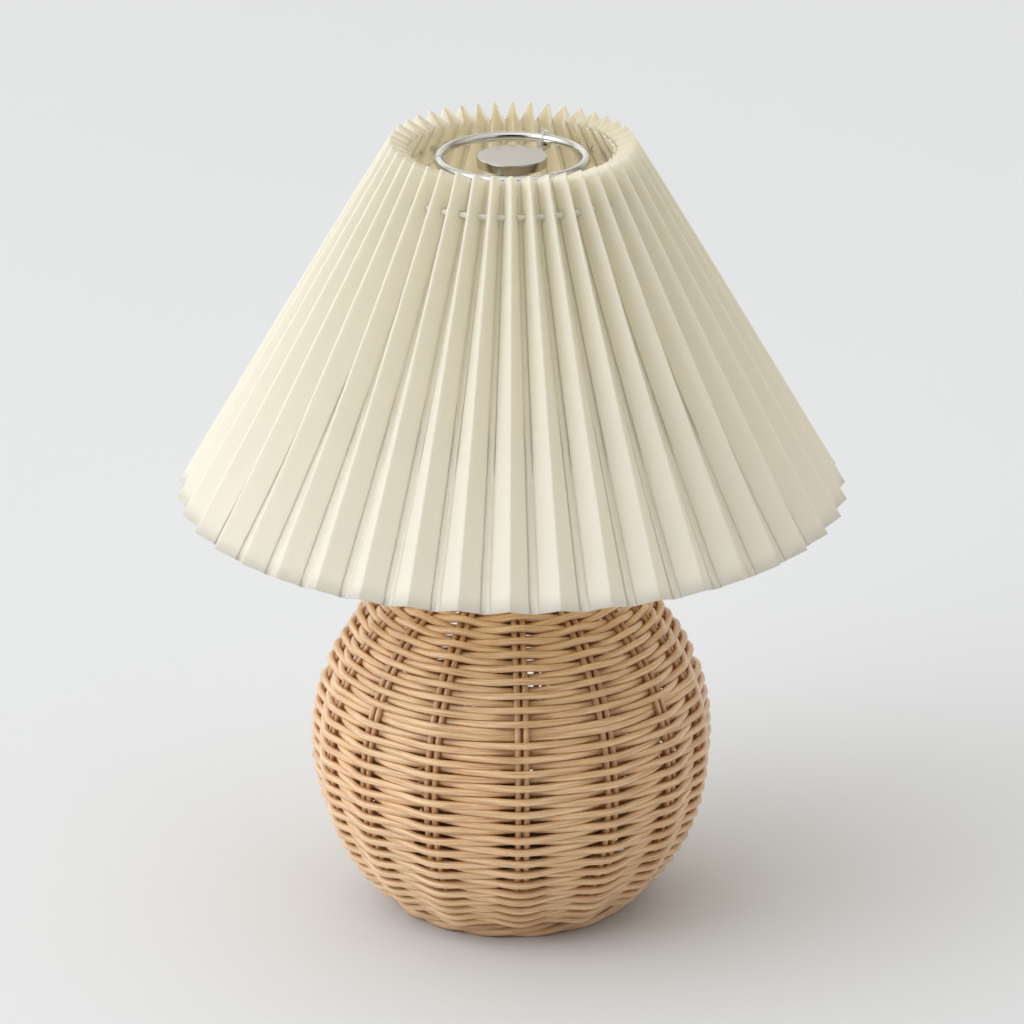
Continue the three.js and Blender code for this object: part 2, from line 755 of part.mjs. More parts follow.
function shadeTie(number) {
  const pleat = TIE_FIRST_PLEAT + (number * SHADE_PLEATS) / TIE_COUNT;
  const from = new THREE.Vector3(0, -(RING_RADIUS + RING_WIRE_RADIUS + GAP), ringZ);
  const to = new THREE.Vector3(0, -(cordRadius - CORD_RADIUS - GAP), cordZ);
  const length = from.distanceTo(to);
  const lean = Math.atan2(from.z - to.z, from.y - to.y);
  return cylinder(TIE_RADIUS, length, 8)
    .rotateX(Math.PI / 2 + lean)
    .translate(0, (from.y + to.y) / 2, (from.z + to.z) / 2)
    .rotateZ(SHADE_TURN + (pleat * 2 * Math.PI) / SHADE_PLEATS);
}

// One hole through each panel, where the gather cord crosses it. Every second panel runs from
// an inner fold to an outer one.
function cordHoles() {
  const panelCount = 2 * SHADE_PLEATS;
  return Array.from({ length: panelCount }, (_, panel) => {
    const share = panel % 2 === 0 ? CORD_SHARE : 1 - CORD_SHARE;
    return cylinder(CORD_HOLE_RADIUS, 5, 4)
      .rotateY(Math.PI / 2)
      .translate(0, -cordRadius, cordZ)
      .rotateZ(SHADE_TURN + ((panel + share) * 2 * Math.PI) / panelCount);
  });
}

function addShade() {
  add("pleated_shade", cut(pleatedSkin(), ...cordHoles()), IVORY);
  add("gather_cord", torus(cordRadius, CORD_RADIUS, cordZ, 6, SHADE_PLEATS), CORD);
  add("carrier_ring", torus(RING_RADIUS, RING_WIRE_RADIUS, ringZ, 8, 36), CHROME);
  add("carrier_bar", carrierBar(), CHROME);
  for (let i = 0; i < TIE_COUNT; i++) {
    add(`shade_tie_${i + 1}`, shadeTie(i), NYLON);
  }
}

function addFinial() {
  const edge = 0.8;
  const bore = STUD_RADIUS + GAP;
  const finial = revolve(
    [
      [bore, finialStemZ],
      [FINIAL_STEM_RADIUS, finialStemZ],
      [FINIAL_STEM_RADIUS, finialDiscZ],
      [FINIAL_RADIUS - edge, finialDiscZ],
      [FINIAL_RADIUS, finialDiscZ + edge],
      [FINIAL_RADIUS, finialTopZ - edge],
      [FINIAL_RADIUS - edge, finialTopZ],
      [0, finialTopZ],
      [0, finialTopZ - 1.5],
      [bore, finialTopZ - 1.5],
    ],
    36,
  );
  add("finial", finial, NICKEL);
}

addBase();
addPipe();
addHolder();
addSwitch();
addBulb();
addHarp();
addShade();
addFinial();

export default lamp;
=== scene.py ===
import math

import bpy
import numpy as np
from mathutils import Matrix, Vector


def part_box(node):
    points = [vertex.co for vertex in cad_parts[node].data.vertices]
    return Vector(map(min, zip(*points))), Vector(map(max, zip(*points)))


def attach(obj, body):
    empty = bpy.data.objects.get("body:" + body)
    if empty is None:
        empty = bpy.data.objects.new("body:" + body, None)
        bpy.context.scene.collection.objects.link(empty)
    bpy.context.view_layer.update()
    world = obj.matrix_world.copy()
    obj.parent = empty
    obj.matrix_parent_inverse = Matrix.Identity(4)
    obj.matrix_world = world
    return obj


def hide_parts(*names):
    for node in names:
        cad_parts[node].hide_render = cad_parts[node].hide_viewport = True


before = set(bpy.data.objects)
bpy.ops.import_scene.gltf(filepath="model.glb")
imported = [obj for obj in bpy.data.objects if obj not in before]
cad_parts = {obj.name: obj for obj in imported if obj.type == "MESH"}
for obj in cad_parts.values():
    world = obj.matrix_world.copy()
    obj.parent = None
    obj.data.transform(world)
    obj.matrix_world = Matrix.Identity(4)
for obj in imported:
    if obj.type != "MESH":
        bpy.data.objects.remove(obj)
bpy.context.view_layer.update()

# Lengths below are in millimetres, and MM turns them into the frame's metres.
MM = 0.001

GLOBE_RADIUS = 100.0
GLOBE_WAIST_Z = 84.0
GLOBE_RISE = 102.5
GLOBE_DROP = 105.0
STAKE_PAIRS = 15
STAKE_TURN = math.radians(3.4)  # one pair stands about this far from the front towards +X
STAKE_RADIUS = 1.55
STAKE_SPACING = 4.15
STAKE_SPACING_SHARE = 0.085  # of the globe's radius at that height: it is never wider
STAKE_INSET = 4.75  # from the globe's outline to the middle of the stakes
STAKE_TOP_RADIUS = 26.0
PAIR_SHIFTS = ((2, 2.4), (3, 1.9))  # waves round the globe, and degrees that they move a pair
PAIR_SHIFT_ALL = -0.3
WEAVER_SWING = 3.1  # in front of and behind the stakes
SWING_PLAIN_SHARE = 0.3  # of the swing that is a plain wave: the rest is narrower at the pairs
SWING_CHANGE = (0.03, 1.7)  # share of the swing, and waves in one row
WEAVER_DRIFTS = ((0.13, 0.37, 1.0), (0.12, 1.93, 0.0))  # size, waves in one row, and start
WEAVER_HALF_HEIGHT = 1.72
WEAVER_HALF_DEPTH = 1.7
WEAVER_SWELL = 0.25  # added to the half height behind a pair
WEAVER_SQUARENESS = 0.8
WEAVER_TOP_RADIUS = 25.0
WEAVER_FOOT_Z = 8.0
STEPS_PER_PAIR = 8
ROW_PITCH = 3.55
FRONT_ROW_TRAVEL = -2.3  # from the waist up the globe to a row that passes in front of that pair
CHANGE_TRAVEL = 38.5  # from the waist up the globe to where the rows change over
BUSH_Z = 30.0
BUSH_ARC_RADIUS = 77.0  # turns angles near the bush into lengths
BUSH_PART_FULLY = 10.0  # strands this near to the bush part fully
BUSH_PART_FADE = 22.0  # this much further off, they no longer part
WEAVER_BUSH_SPREAD = 9.5
STAKE_BUSH_SPREAD = 8.5
BRAID_STRANDS = 3
BOTTOM_Z = 11.0
BOTTOM_RADIUS = 54.0
SPOKE_START = 7.0
SPOKE_RADIUS = 1.1
SPOKE_SPACING = 1.6  # from the middle of a pair to each of its spokes
SPIRAL_START = 8.0
SPIRAL_PITCH = 3.0
SPIRAL_SWING = 1.15
SPIRAL_HALF_WIDTH = 1.45
SPIRAL_HALF_HEIGHT = 0.85

PLEATS = 42
SHADE_TOP_Z = 395.5
SHADE_BOTTOM_Z = 214.0
SHADE_TOP_RADIUS = 60.4
SHADE_BOTTOM_RADIUS = 164.2
SHADE_TURN = math.radians(-0.4)
PANEL_WIDTH = 15.0
PAPER_THICKNESS = 0.45
FOLD_RADIUS = 0.55
FOLD_STEPS = 3  # from a fold's ridge to the flat of its panel
FOLD_JITTER = 0.22
PANEL_BOW = 0.075
PANEL_BOW_RATE = 60.0  # millimetres down the slope for one radian of the bow's wave
PANEL_EDGE_SHARE = 0.19  # of a panel, from its fold to its first column of points
CORD_FROM_TOP = 18.6
CORD_SHARE = 0.66  # of the way from the outer folds to the inner ones
CORD_RADIUS = 1.5
CORD_STRANDS = 3
CORD_GROOVE = 0.07
CORD_STRAND_PITCH = 5.003  # along the cord, from the top of one strand to the next
CORD_HOLE_RADIUS = 1.6
HOLE_PATCH_REACH = 1.45  # hole radii from the middle to the edge of the square patch round it
HOLE_SIDES = 16

RING_RADIUS = 35.6
RING_WIRE_RADIUS = 2.3
RING_Z = SHADE_TOP_Z - 11.0
TIES = 3
KNOTTED_TIE = 1
FIRST_TIE_PLEAT = 4
TIE_LINE_RADIUS = 0.2
TIE_CLEARANCE = 0.1
TIE_WRAP_PITCH = 0.3667
TIE_SAG = 0.8
BOW_LOOPS = ((1.1, 1.0, 1.0), (-0.9, 0.8, 0.8), (0.2, 0.7, 1.5))  # side, size and height
BOW_ENDS = ((-3.0, 1.6, 1.0), (2.4, 3.6, 0.6), (0.8, -5.4, -1.2))  # side, height and bend

FINIAL_DISC_RADIUS = 17.0
FINIAL_DISC_THICKNESS = 5.1
FINIAL_STEM_RADIUS = 6.0
HARP_LEG_X = 30.0
HARP_WIRE_RADIUS = 1.75
HARP_FLAT_X = HARP_LEG_X - 0.15  # the wire is flat where it stands against the saddle's lugs
SCREW_PITCH = 3.6  # of the bulb's thread and of the holder that takes it
KNOB_FLUTES = 24
KNOB_HALF_WIDTH = 3.2

CORNER_STEPS = 3  # in each rounded corner of a turned outline

# Stage: places in metres, angles in degrees, lens and sensor in millimetres.
CAMERA_LENS = 249.9
CAMERA_SENSOR = 36.0
CAMERA_DOWN = 20.76
CAMERA_DISTANCE = 3.493
CAMERA_AIM = (0, 0, 0.2021)
KEY_PLACE = (-2.4, -1.0, 2.2)
KEY_AIM = (0, 0, 0.2)
KEY_SIZE = 2.6
KEY_POWER = 31.0
KEY_COLOUR = (0.95, 0.99, 1.04)
SKY_LEFT_RIGHT = (1.32, 0.60)
SKY_LEFT_COLOUR = (0.99, 1.0, 1.01)
SKY_RIGHT_COLOUR = (1.03, 1.0, 0.95)
SKY_LOW_HIGH = (0.97, 1.12)
SKY_HIGH_FROM = 0.7  # upward part of the direction where the sky is as bright as it gets
DARK_END = (0.0, -0.93, 0.37)  # direction of the room's dark end, which the chrome reflects
DARK_END_EDGE = (0.86, 0.94)  # along that direction: where it starts, and where it is darkest
DARK_END_STRENGTH = 0.03

rng = np.random.default_rng(7)


# ---------- shapes ----------


class Shape:
    """Points in millimetres, faces, and a UV pair in metres for each corner of each face."""

    def __init__(self):
        self.points = []
        self.faces = []
        self.uvs = []
        self.count = 0

    def add(self, points, faces, uvs):
        self.points.append(np.asarray(points, float))
        self.faces.extend(tuple(int(i) + self.count for i in face) for face in faces)
        self.uvs.extend(uvs)
        self.count += len(points)
        return self


def piece(name, shape, body, material, replaces=(), smooth_angle=40):
    """A Shape as a Blender object that rides on a body."""
    mesh = bpy.data.meshes.new(name)
    mesh.from_pydata((np.vstack(shape.points) * MM).tolist(), [], shape.faces)
    layer = mesh.uv_layers.new(name="metres")
    layer.data.foreach_set("uv", np.array(shape.uvs, np.float32).ravel())
    mesh.validate()
    mesh.materials.append(material)
    mesh.polygons.foreach_set("use_smooth", [True] * len(mesh.polygons))
    mesh.set_sharp_from_angle(angle=math.radians(smooth_angle))
    made = bpy.data.objects.new(name, mesh)
    bpy.context.scene.collection.objects.link(made)
    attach(made, body)
    if replaces:
        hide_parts(*replaces)
    return made


def grid_faces(rows, columns, wrap_rows=False, wrap_columns=False):
    """Quads between neighbouring points of a grid, and their row and column numbers before
    wrapping."""
    r = np.arange(rows if wrap_rows else rows - 1)
    c = np.arange(columns if wrap_columns else columns - 1)
    r, c = np.meshgrid(r, c, indexing="ij")
    r, c = r.ravel(), c.ravel()
    corner_rows = np.stack([r, r, r + 1, r + 1], 1)
    corner_columns = np.stack([c, c + 1, c + 1, c], 1)
    faces = (corner_rows % rows) * columns + corner_columns % columns
    return faces, corner_rows, corner_columns


def sweep(shape, path, outward, half_height, half_depth, sides=10, closed=False, lobes=None,
          flatness=1.0):
    """Adds a strand with an oval section. outward is the direction of its depth at each point
    of the path. lobes is (count, height, number passed in a millimetre) for a twisted cord.
    flatness below 1 squares the section off."""
    path = np.asarray(path, float)
    outward = np.asarray(outward, float)
    if closed:
        along = np.roll(path, -1, 0) - np.roll(path, 1, 0)
    else:
        along = np.gradient(path, axis=0)
    along /= np.linalg.norm(along, axis=1, keepdims=True)
    outward = outward - (outward * along).sum(1, keepdims=True) * along
    outward /= np.linalg.norm(outward, axis=1, keepdims=True)
    upward = np.cross(outward, along)
    steps = np.linalg.norm(np.diff(path, axis=0), axis=1)
    travel = np.concatenate([[0], np.cumsum(steps)])
    if closed:
        travel = np.concatenate([travel, [travel[-1] + np.linalg.norm(path[0] - path[-1])]])
    turn = np.arange(sides) / sides * 2 * math.pi
    height = np.broadcast_to(half_height, len(path))[:, None]
    depth = np.broadcast_to(half_depth, len(path))[:, None]
    swell = np.ones((len(path), sides))
    if lobes:
        count, lift, rate = lobes
        phase = travel[: len(path), None] * rate * 2 * math.pi
        swell = 1 + lift * np.cos(count * turn[None, :] - phase) - lift
    across, along_height = (
        np.sign(wave) * np.abs(wave) ** flatness for wave in (np.cos(turn), np.sin(turn))
    )
    points = (
        path[:, None, :]
        + outward[:, None, :] * (depth * swell * across)[:, :, None]
        + upward[:, None, :] * (height * swell * along_height)[:, :, None]
    )
    faces, rows, columns = grid_faces(len(path), sides, closed, True)
    girth = math.pi * (np.mean(half_height) + np.mean(half_depth))
    uvs = np.stack([travel[rows], columns / sides * girth], -1) * MM
    faces = faces[:, ::-1].tolist()
    uvs = uvs[:, ::-1].reshape(-1, 2).tolist()
    if not closed:
        last = (len(path) - 1) * sides
        faces.append(list(range(sides)))
        faces.append(list(range(last + sides - 1, last - 1, -1)))
        uvs.extend([[0.0, 0.0]] * 2 * sides)
    return shape.add(points.reshape(-1, 3), faces, uvs)


def around_axis(turn, radius, height):
    """Points at a radius from the lamp's axis, turned from its front towards +X."""
    return np.stack([radius * np.sin(turn), -radius * np.cos(turn), height + 0 * turn], -1)


def rounded(profile, radius):
    """A closed outline with each corner rounded, except those on the axis."""
    profile = [np.array(p, float) for p in profile]
    out = []
    for i, corner in enumerate(profile):
        before, after = profile[i - 1] - corner, profile[(i + 1) % len(profile)] - corner
        reach = min(radius, 0.45 * np.linalg.norm(before), 0.45 * np.linalg.norm(after))
        if corner[0] < 1e-6:
            out.append(corner)
            continue
        start = corner + before / np.linalg.norm(before) * reach
        end = corner + after / np.linalg.norm(after) * reach
        for t in np.linspace(0, 1, CORNER_STEPS + 1):
            out.append((1 - t) ** 2 * start + 2 * t * (1 - t) * corner + t**2 * end)
    return out


def lathe(profile, segments=96, shape=None):
    """A closed outline of [radius, height] turned about the lamp's axis. Points on the axis
    become one point each."""
    shape = shape or Shape()
    profile = np.array(profile, float)
    travel = np.concatenate([[0], np.cumsum(np.linalg.norm(np.diff(profile, axis=0), axis=1))])
    turn = np.arange(segments) / segments * 2 * math.pi
    on_axis = profile[:, 0] < 1e-6
    starts, points = [], []
    for (radius, height), single in zip(profile, on_axis):
        starts.append(len(points))
        if single:
            points.append([0, 0, height])
        else:
            points.extend(
                np.stack([radius * np.cos(turn), radius * np.sin(turn), turn * 0 + height], 1)
            )
    faces, uvs = [], []
    count = len(profile)
    for i in range(count):
        j = (i + 1) % count
        if on_axis[i] and on_axis[j]:
            continue
        for k in range(segments):
            k2 = (k + 1) % segments
            a = starts[i] if on_axis[i] else starts[i] + k
            b = starts[i] if on_axis[i] else starts[i] + k2
            c = starts[j] if on_axis[j] else starts[j] + k2
            d = starts[j] if on_axis[j] else starts[j] + k
            corners = [(a, i, k), (b, i, k + 1), (c, j, k + 1), (d, j, k)]
            if a == b:
                corners.pop(1)
            elif c == d:
                corners.pop(2)
            faces.append([n for n, _, _ in corners])
            girth = max(profile[i][0], profile[j][0]) * 2 * math.pi / segments
            uvs.extend([[col * girth * MM, travel[row] * MM] for _, row, col in corners])
    return shape.add(points, faces, uvs)


def turned(shape, matrix):
    """The shape with its points put through a 3 by 3 matrix."""
    shape.points = [p @ np.array(matrix, float).T for p in shape.points]
    return shape


def moved(shape, offset):
    """The shape with its points moved by the offset."""
    shape.points = [p + np.array(offset, float) for p in shape.points]
    return shape


def smoothstep(t):
    t = np.clip(t, 0, 1)
    return t * t * (3 - 2 * t)


# ---------- materials ----------


class Nodes:
    """A node tree, built a node at a time."""

    def __init__(self, tree):
        self.tree = tree

    def set(self, socket, value):
        if isinstance(value, bpy.types.NodeSocket):
            self.tree.links.new(value, socket)
        elif isinstance(value, tuple) and len(value) == 3 and socket.type == "RGBA":
            socket.default_value = (*value, 1)
        else:
            socket.default_value = value

    def node(self, kind, inputs=None, **settings):
        made = self.tree.nodes.new("ShaderNode" + kind)
        for name, value in settings.items():
            setattr(made, name, value)
        for name, value in (inputs or {}).items():
            self.set(made.inputs[name], value)
        return made

    def place(self, scale=(1, 1, 1), uv=False):
        """Coordinates in metres, from the object or along a strand, stretched by scale."""
        coordinates = self.node("TexCoord").outputs["UV" if uv else "Object"]
        mapping = self.node("Mapping", {"Vector": coordinates, "Scale": scale})
        return mapping.outputs[0]

    def noise(self, vector, scale, detail):
        inputs = {"Vector": vector, "Scale": scale, "Detail": detail}
        return self.node("TexNoise", inputs).outputs[0]

    def combined(self, kind, operation, a, b):
        """The outputs of a Math or VectorMath node."""
        made = self.node(kind, operation=operation)
        self.set(made.inputs[0], a)
        self.set(made.inputs[1], b)
        return made.outputs

    def faces_outward(self):
        """1 where the surface faces away from the lamp's upright axis, 0 where it faces it."""
        place = self.node("TexCoord").outputs
        from_axis = self.combined("VectorMath", "MULTIPLY", place["Object"], (1, 1, 0))["Vector"]
        direction = self.node("VectorMath", {0: from_axis}, operation="NORMALIZE").outputs[0]
        turned_out = self.combined("VectorMath", "DOT_PRODUCT", direction, place["Normal"])
        inputs = {"Value": turned_out["Value"], "From Min": -0.1, "From Max": 0.1}
        return self.node("MapRange", inputs).outputs[0]

    def ramp(self, factor, *stops):
        made = self.node("ValToRGB", {"Fac": factor})
        elements = made.color_ramp.elements
        while len(elements) < len(stops):
            elements.new(0.5)
        for element, (position, colour) in zip(elements, stops):
            element.position = position
            element.color = (*colour, 1)
        return made.outputs[0]

    def between(self, factor, low, high):
        """A number that goes from low to high as factor goes from 0 to 1."""
        made = self.node("MapRange", {"Value": factor, "To Min": low, "To Max": high})
        return made.outputs[0]

    def mixed(self, factor, a, b, blend_type="MIX"):
        made = self.node("Mix", data_type="RGBA", blend_type=blend_type)
        self.set(made.inputs[0], factor)
        self.set(made.inputs[6], a)
        self.set(made.inputs[7], b)
        return made.outputs[2]

    def eased(self, value, start_end, low_high):
        """Goes smoothly between two numbers as value goes from start to end."""
        (start, end), (low, high) = start_end, low_high
        inputs = {"Value": value, "From Min": start, "From Max": end, "To Min": low,
                  "To Max": high}
        return self.node("MapRange", inputs, interpolation_type="SMOOTHSTEP").outputs[0]

    def bump(self, height, distance, strength):
        inputs = {"Height": height, "Distance": distance, "Strength": strength}
        return self.node("Bump", inputs).outputs[0]

    def principled(self, **inputs):
        inputs = {name.replace("_", " "): value for name, value in inputs.items()}
        return self.node("BsdfPrincipled", inputs).outputs[0]


class Look(Nodes):
    """The node tree of a new material."""

    def __init__(self, name):
        self.material = bpy.data.materials.new(name)
        self.material.use_nodes = True
        super().__init__(self.material.node_tree)
        self.tree.nodes.clear()
        self.output = self.tree.nodes.new("ShaderNodeOutputMaterial")

    def finish(self, shader):
        self.tree.links.new(shader, self.output.inputs["Surface"])
        return self.material


def rattan(name, light, dark, roughness=0.42):
    """Cane: fibres along the strand, bands of tone, and warmer patches."""
    n = Look(name)
    fibres = n.noise(n.place((45, 1500, 1), uv=True), 1.0, 3)
    bands = n.noise(n.place((30, 220, 1), uv=True), 1.0, 2)
    patches = n.noise(n.place(), 30.0, 2)
    tone = n.mixed(n.between(bands, -0.4, 1.4), dark, light)
    streak = n.ramp(fibres, (0.36, (0.66, 0.57, 0.47)), (0.56, (1.0, 1.0, 1.0)))
    tone = n.mixed(1.0, tone, streak, "MULTIPLY")
    warm = n.ramp(patches, (0.3, (1.0, 0.90, 0.80)), (0.7, (1.0, 1.0, 1.0)))
    tone = n.mixed(0.6, tone, warm, "MULTIPLY")
    normal = n.bump(fibres, 0.00025, 0.9)
    rough = n.between(bands, roughness - 0.08, roughness + 0.14)
    return n.finish(
        n.principled(
            Base_Color=tone, Roughness=rough, Normal=normal, Specular_IOR_Level=0.8,
            Coat_Weight=0.8, Coat_Roughness=0.32,
        )
    )


def pleated_paper():
    """Stiff ivory sheet that lets light through. Its inner side is painted warmer, as painted
    glow of the light inside the shade.
    """
    n = Look("ivory_pleat")
    grain = n.noise(n.place((1, 1, 0.35)), 1800.0, 2)
    clouds = n.noise(n.place(), 45.0, 3)
    outside = n.ramp(clouds, (0.25, (0.965, 0.965, 0.945)), (0.75, (0.985, 0.985, 0.97)))
    # Painted light: the inner side is coloured warmer to stand in for the warm light that passes
    # through the paper and bounces inside the shade.
    inside_with_painted_glow = n.ramp(clouds, (0.25, (0.93, 0.84, 0.71)), (0.75, (0.96, 0.88, 0.76)))
    tone = n.mixed(n.faces_outward(), inside_with_painted_glow, outside)
    normal = n.bump(grain, 0.00005, 0.5)
    rough = n.between(grain, 0.5, 0.68)
    face = n.principled(Base_Color=tone, Roughness=rough, Normal=normal)
    through = n.node("BsdfTranslucent", {"Color": (1.0, 0.975, 0.85), "Normal": normal})
    mix = n.node("MixShader", {"Fac": 0.54})
    n.set(mix.inputs[1], face)
    n.set(mix.inputs[2], through.outputs[0])
    return n.finish(mix.outputs[0])


# Painted reflections on polished metal: dark and bright tones from where it faces the eye to
# where it is seen edge-on, painted instead of a reflected room.
PAINTED_POLISH_REFLECTIONS = (
    (0.0, (0.80, 0.80, 0.80)), (0.22, (0.95, 0.95, 0.95)), (0.42, (0.42, 0.41, 0.39)),
    (0.55, (0.80, 0.79, 0.77)), (0.74, (0.92, 0.92, 0.91)), (0.86, (0.32, 0.31, 0.29)),
    (1.0, (0.20, 0.19, 0.18)),
)

# Painted reflections on satin metal: one painted dark line, and a painted highlight from there to
# the edge.
PAINTED_SATIN_REFLECTIONS = (
    (0.0, (0.80, 0.78, 0.74)), (0.16, (0.62, 0.60, 0.57)), (0.27, (0.30, 0.29, 0.27)),
    (0.40, (1.0, 1.0, 1.0)), (0.52, (0.95, 0.95, 0.95)), (0.62, (0.85, 0.85, 0.85)),
    (1.0, (0.80, 0.80, 0.80)),
)


def metal(name, colour, roughness, marks=0.05, brushed=(1, 1, 1), grain=900.0, bands=()):
    """Metal with fine polishing marks and slightly uneven polish. bands are painted reflections:
    tones from where it faces the eye to its edge, multiplied into the colour."""
    n = Look(name)
    lines = n.noise(n.place(brushed), grain, 3)
    smudges = n.noise(n.place(), 60.0, 3)
    tone = n.mixed(n.between(smudges, 0.0, 0.5), colour, tuple(0.86 * x for x in colour))
    if bands:
        # Painted reflections: dark and bright bands set by the angle to the eye, multiplied into
        # the colour.
        facing = n.node("LayerWeight", {"Blend": 0.5}).outputs["Facing"]
        tone = n.mixed(1.0, tone, n.ramp(facing, *bands), "MULTIPLY")
    rough = n.between(smudges, roughness - marks / 2, roughness + marks)
    normal = n.bump(lines, 0.000004, 0.25)
    return n.finish(
        n.principled(Base_Color=tone, Metallic=1.0, Roughness=rough, Normal=normal)
    )


def plain(name, light, dark, roughness, scale, bump=0.00005, strength=0.3):
    """A non-metal with a two-tone grain."""
    n = Look(name)
    grain = n.noise(n.place(), scale, 4)
    tone = n.mixed(grain, dark, light)
    rough = n.between(grain, roughness - 0.06, roughness + 0.08)
    normal = n.bump(grain, bump, strength)
    return n.finish(n.principled(Base_Color=tone, Roughness=rough, Normal=normal))


def clear_line():
    """Clear nylon: it shows by its highlights and little else."""
    n = Look("nylon")
    grain = n.noise(n.place(), 700.0, 3)
    gloss = n.principled(
        Base_Color=n.mixed(grain, (0.86, 0.87, 0.84), (0.95, 0.95, 0.93)), Roughness=0.2
    )
    clear = n.node("BsdfTransparent")
    mix = n.node("MixShader", {"Fac": n.between(grain, 0.35, 0.55)})
    n.set(mix.inputs[1], clear.outputs[0])
    n.set(mix.inputs[2], gloss)
    return n.finish(mix.outputs[0])


RATTAN = rattan("rattan", (0.99, 0.72, 0.43), (0.76, 0.47, 0.23))
RATTAN_STAKE = rattan("rattan_stake", (0.84, 0.53, 0.28), (0.60, 0.34, 0.15))
RATTAN_BORDER = rattan("rattan_border", (0.95, 0.66, 0.38), (0.70, 0.42, 0.20))
IVORY = pleated_paper()
CHROME = metal("chrome", (0.80, 0.80, 0.77), 0.10, 0.03, bands=PAINTED_POLISH_REFLECTIONS)
SATIN = metal("satin_nickel", (0.61, 0.575, 0.515), 0.24, 0.05, bands=PAINTED_SATIN_REFLECTIONS)
NICKEL = metal("nickel", (0.62, 0.60, 0.56), 0.22, 0.08, (1, 1, 0.1))
BRASS = metal("brass", (0.80, 0.60, 0.30), 0.24, 0.08, (1, 1, 6))
CORD_WHITE = plain("cord", (0.86, 0.82, 0.74), (0.76, 0.72, 0.64), 0.75, 2200.0, 0.0001, 0.6)
NYLON = clear_line()
PIPE_BRASS = metal("dull_brass", (0.36, 0.25, 0.13), 0.5, 0.1, (1, 1, 0.1))
IRON = plain("painted_iron", (0.17, 0.11, 0.065), (0.13, 0.08, 0.045), 0.7, 500.0, 0.0003, 0.8)
BAKELITE = plain("bakelite", (0.022, 0.018, 0.015), (0.012, 0.01, 0.009), 0.3, 1200.0)
CARD = plain("card", (0.24, 0.16, 0.09), (0.17, 0.11, 0.06), 0.85, 1500.0, 0.0001, 0.6)
OPAL = plain("opal_glass", (0.90, 0.90, 0.88), (0.86, 0.86, 0.84), 0.16, 90.0, 0.00002)
BUSH = plain("bush_plastic", (0.78, 0.73, 0.62), (0.72, 0.67, 0.56), 0.45, 1600.0)


# ---------- woven base ----------


def globe_point(angle, inset):
    """Radius, height and outward normal on the globe's meridian, moved in by inset."""
    reach = np.where(angle > 0, GLOBE_RISE, GLOBE_DROP)
    radius = GLOBE_RADIUS * np.cos(angle)
    height = GLOBE_WAIST_Z + reach * np.sin(angle)
    normal = np.stack([reach * np.cos(angle), GLOBE_RADIUS * np.sin(angle)], -1)
    normal /= np.linalg.norm(normal, axis=-1, keepdims=True)
    return radius - inset * normal[..., 0], height - inset * normal[..., 1], normal


def distances_up():
    """Angles on the globe's meridian, and the distance along it from the waist to each."""
    angles = np.linspace(math.radians(-60), math.radians(80), 3000)
    radius, height, _ = globe_point(angles, 0.0)
    steps = np.hypot(np.diff(radius), np.diff(height))
    travel = np.concatenate([[0], np.cumsum(steps)])
    return angles, travel - np.interp(0, angles, travel)


FINE_ANGLES, FINE_TRAVEL = distances_up()
BOTTOM_ANGLE = math.asin((WEAVER_FOOT_Z - GLOBE_WAIST_Z) / GLOBE_DROP)
MOUTH_ANGLE = math.acos(WEAVER_TOP_RADIUS / GLOBE_RADIUS)
STAKE_TOP_ANGLE = math.acos(STAKE_TOP_RADIUS / GLOBE_RADIUS)


def around_bush(turn, height, spread):
    """Strands part round the cable bush: points near it, at the back, move away from it."""
    whole = np.floor(turn / (2 * math.pi)) * 2 * math.pi
    across = (turn - whole - math.pi) * BUSH_ARC_RADIUS
    rise = height - BUSH_Z
    distance = np.hypot(across, rise)
    pushed = (distance**3 + spread**3) ** (1 / 3)
    near = smoothstep(1 - (distance - BUSH_PART_FULLY) / BUSH_PART_FADE)
    factor = 1 + near * (pushed / np.maximum(distance, 1e-6) - 1)
    return whole + math.pi + across * factor / BUSH_ARC_RADIUS, BUSH_Z + rise * factor


def stake_turn(evenly):
    """Where the pair that even spacing would put at this turn really stands."""
    uneven = sum(size * np.sin(waves * evenly) for waves, size in PAIR_SHIFTS) + PAIR_SHIFT_ALL
    return STAKE_TURN + evenly + np.radians(uneven)


def pair_turn(turn):
    """The other way round: a whole number of pair intervals at every pair."""
    evenly = np.linspace(-0.5, 2 * math.pi + 0.5, 2000)
    whole = np.floor(turn / (2 * math.pi)) * 2 * math.pi
    return whole + np.interp(turn - whole, stake_turn(evenly), evenly)


def changed_over(turn):
    """Above CHANGE_TRAVEL the strand takes the other side of each pair: it goes behind two
    pairs in a row, once, at the back of the lamp."""
    change_turn = (CHANGE_TRAVEL - FRONT_ROW_TRAVEL) / ROW_PITCH
    at_back = (math.floor(change_turn) + 0.5) * 2 * math.pi
    interval = 2 * math.pi / STAKE_PAIRS
    return math.pi * smoothstep((turn - at_back) / interval + 0.5)


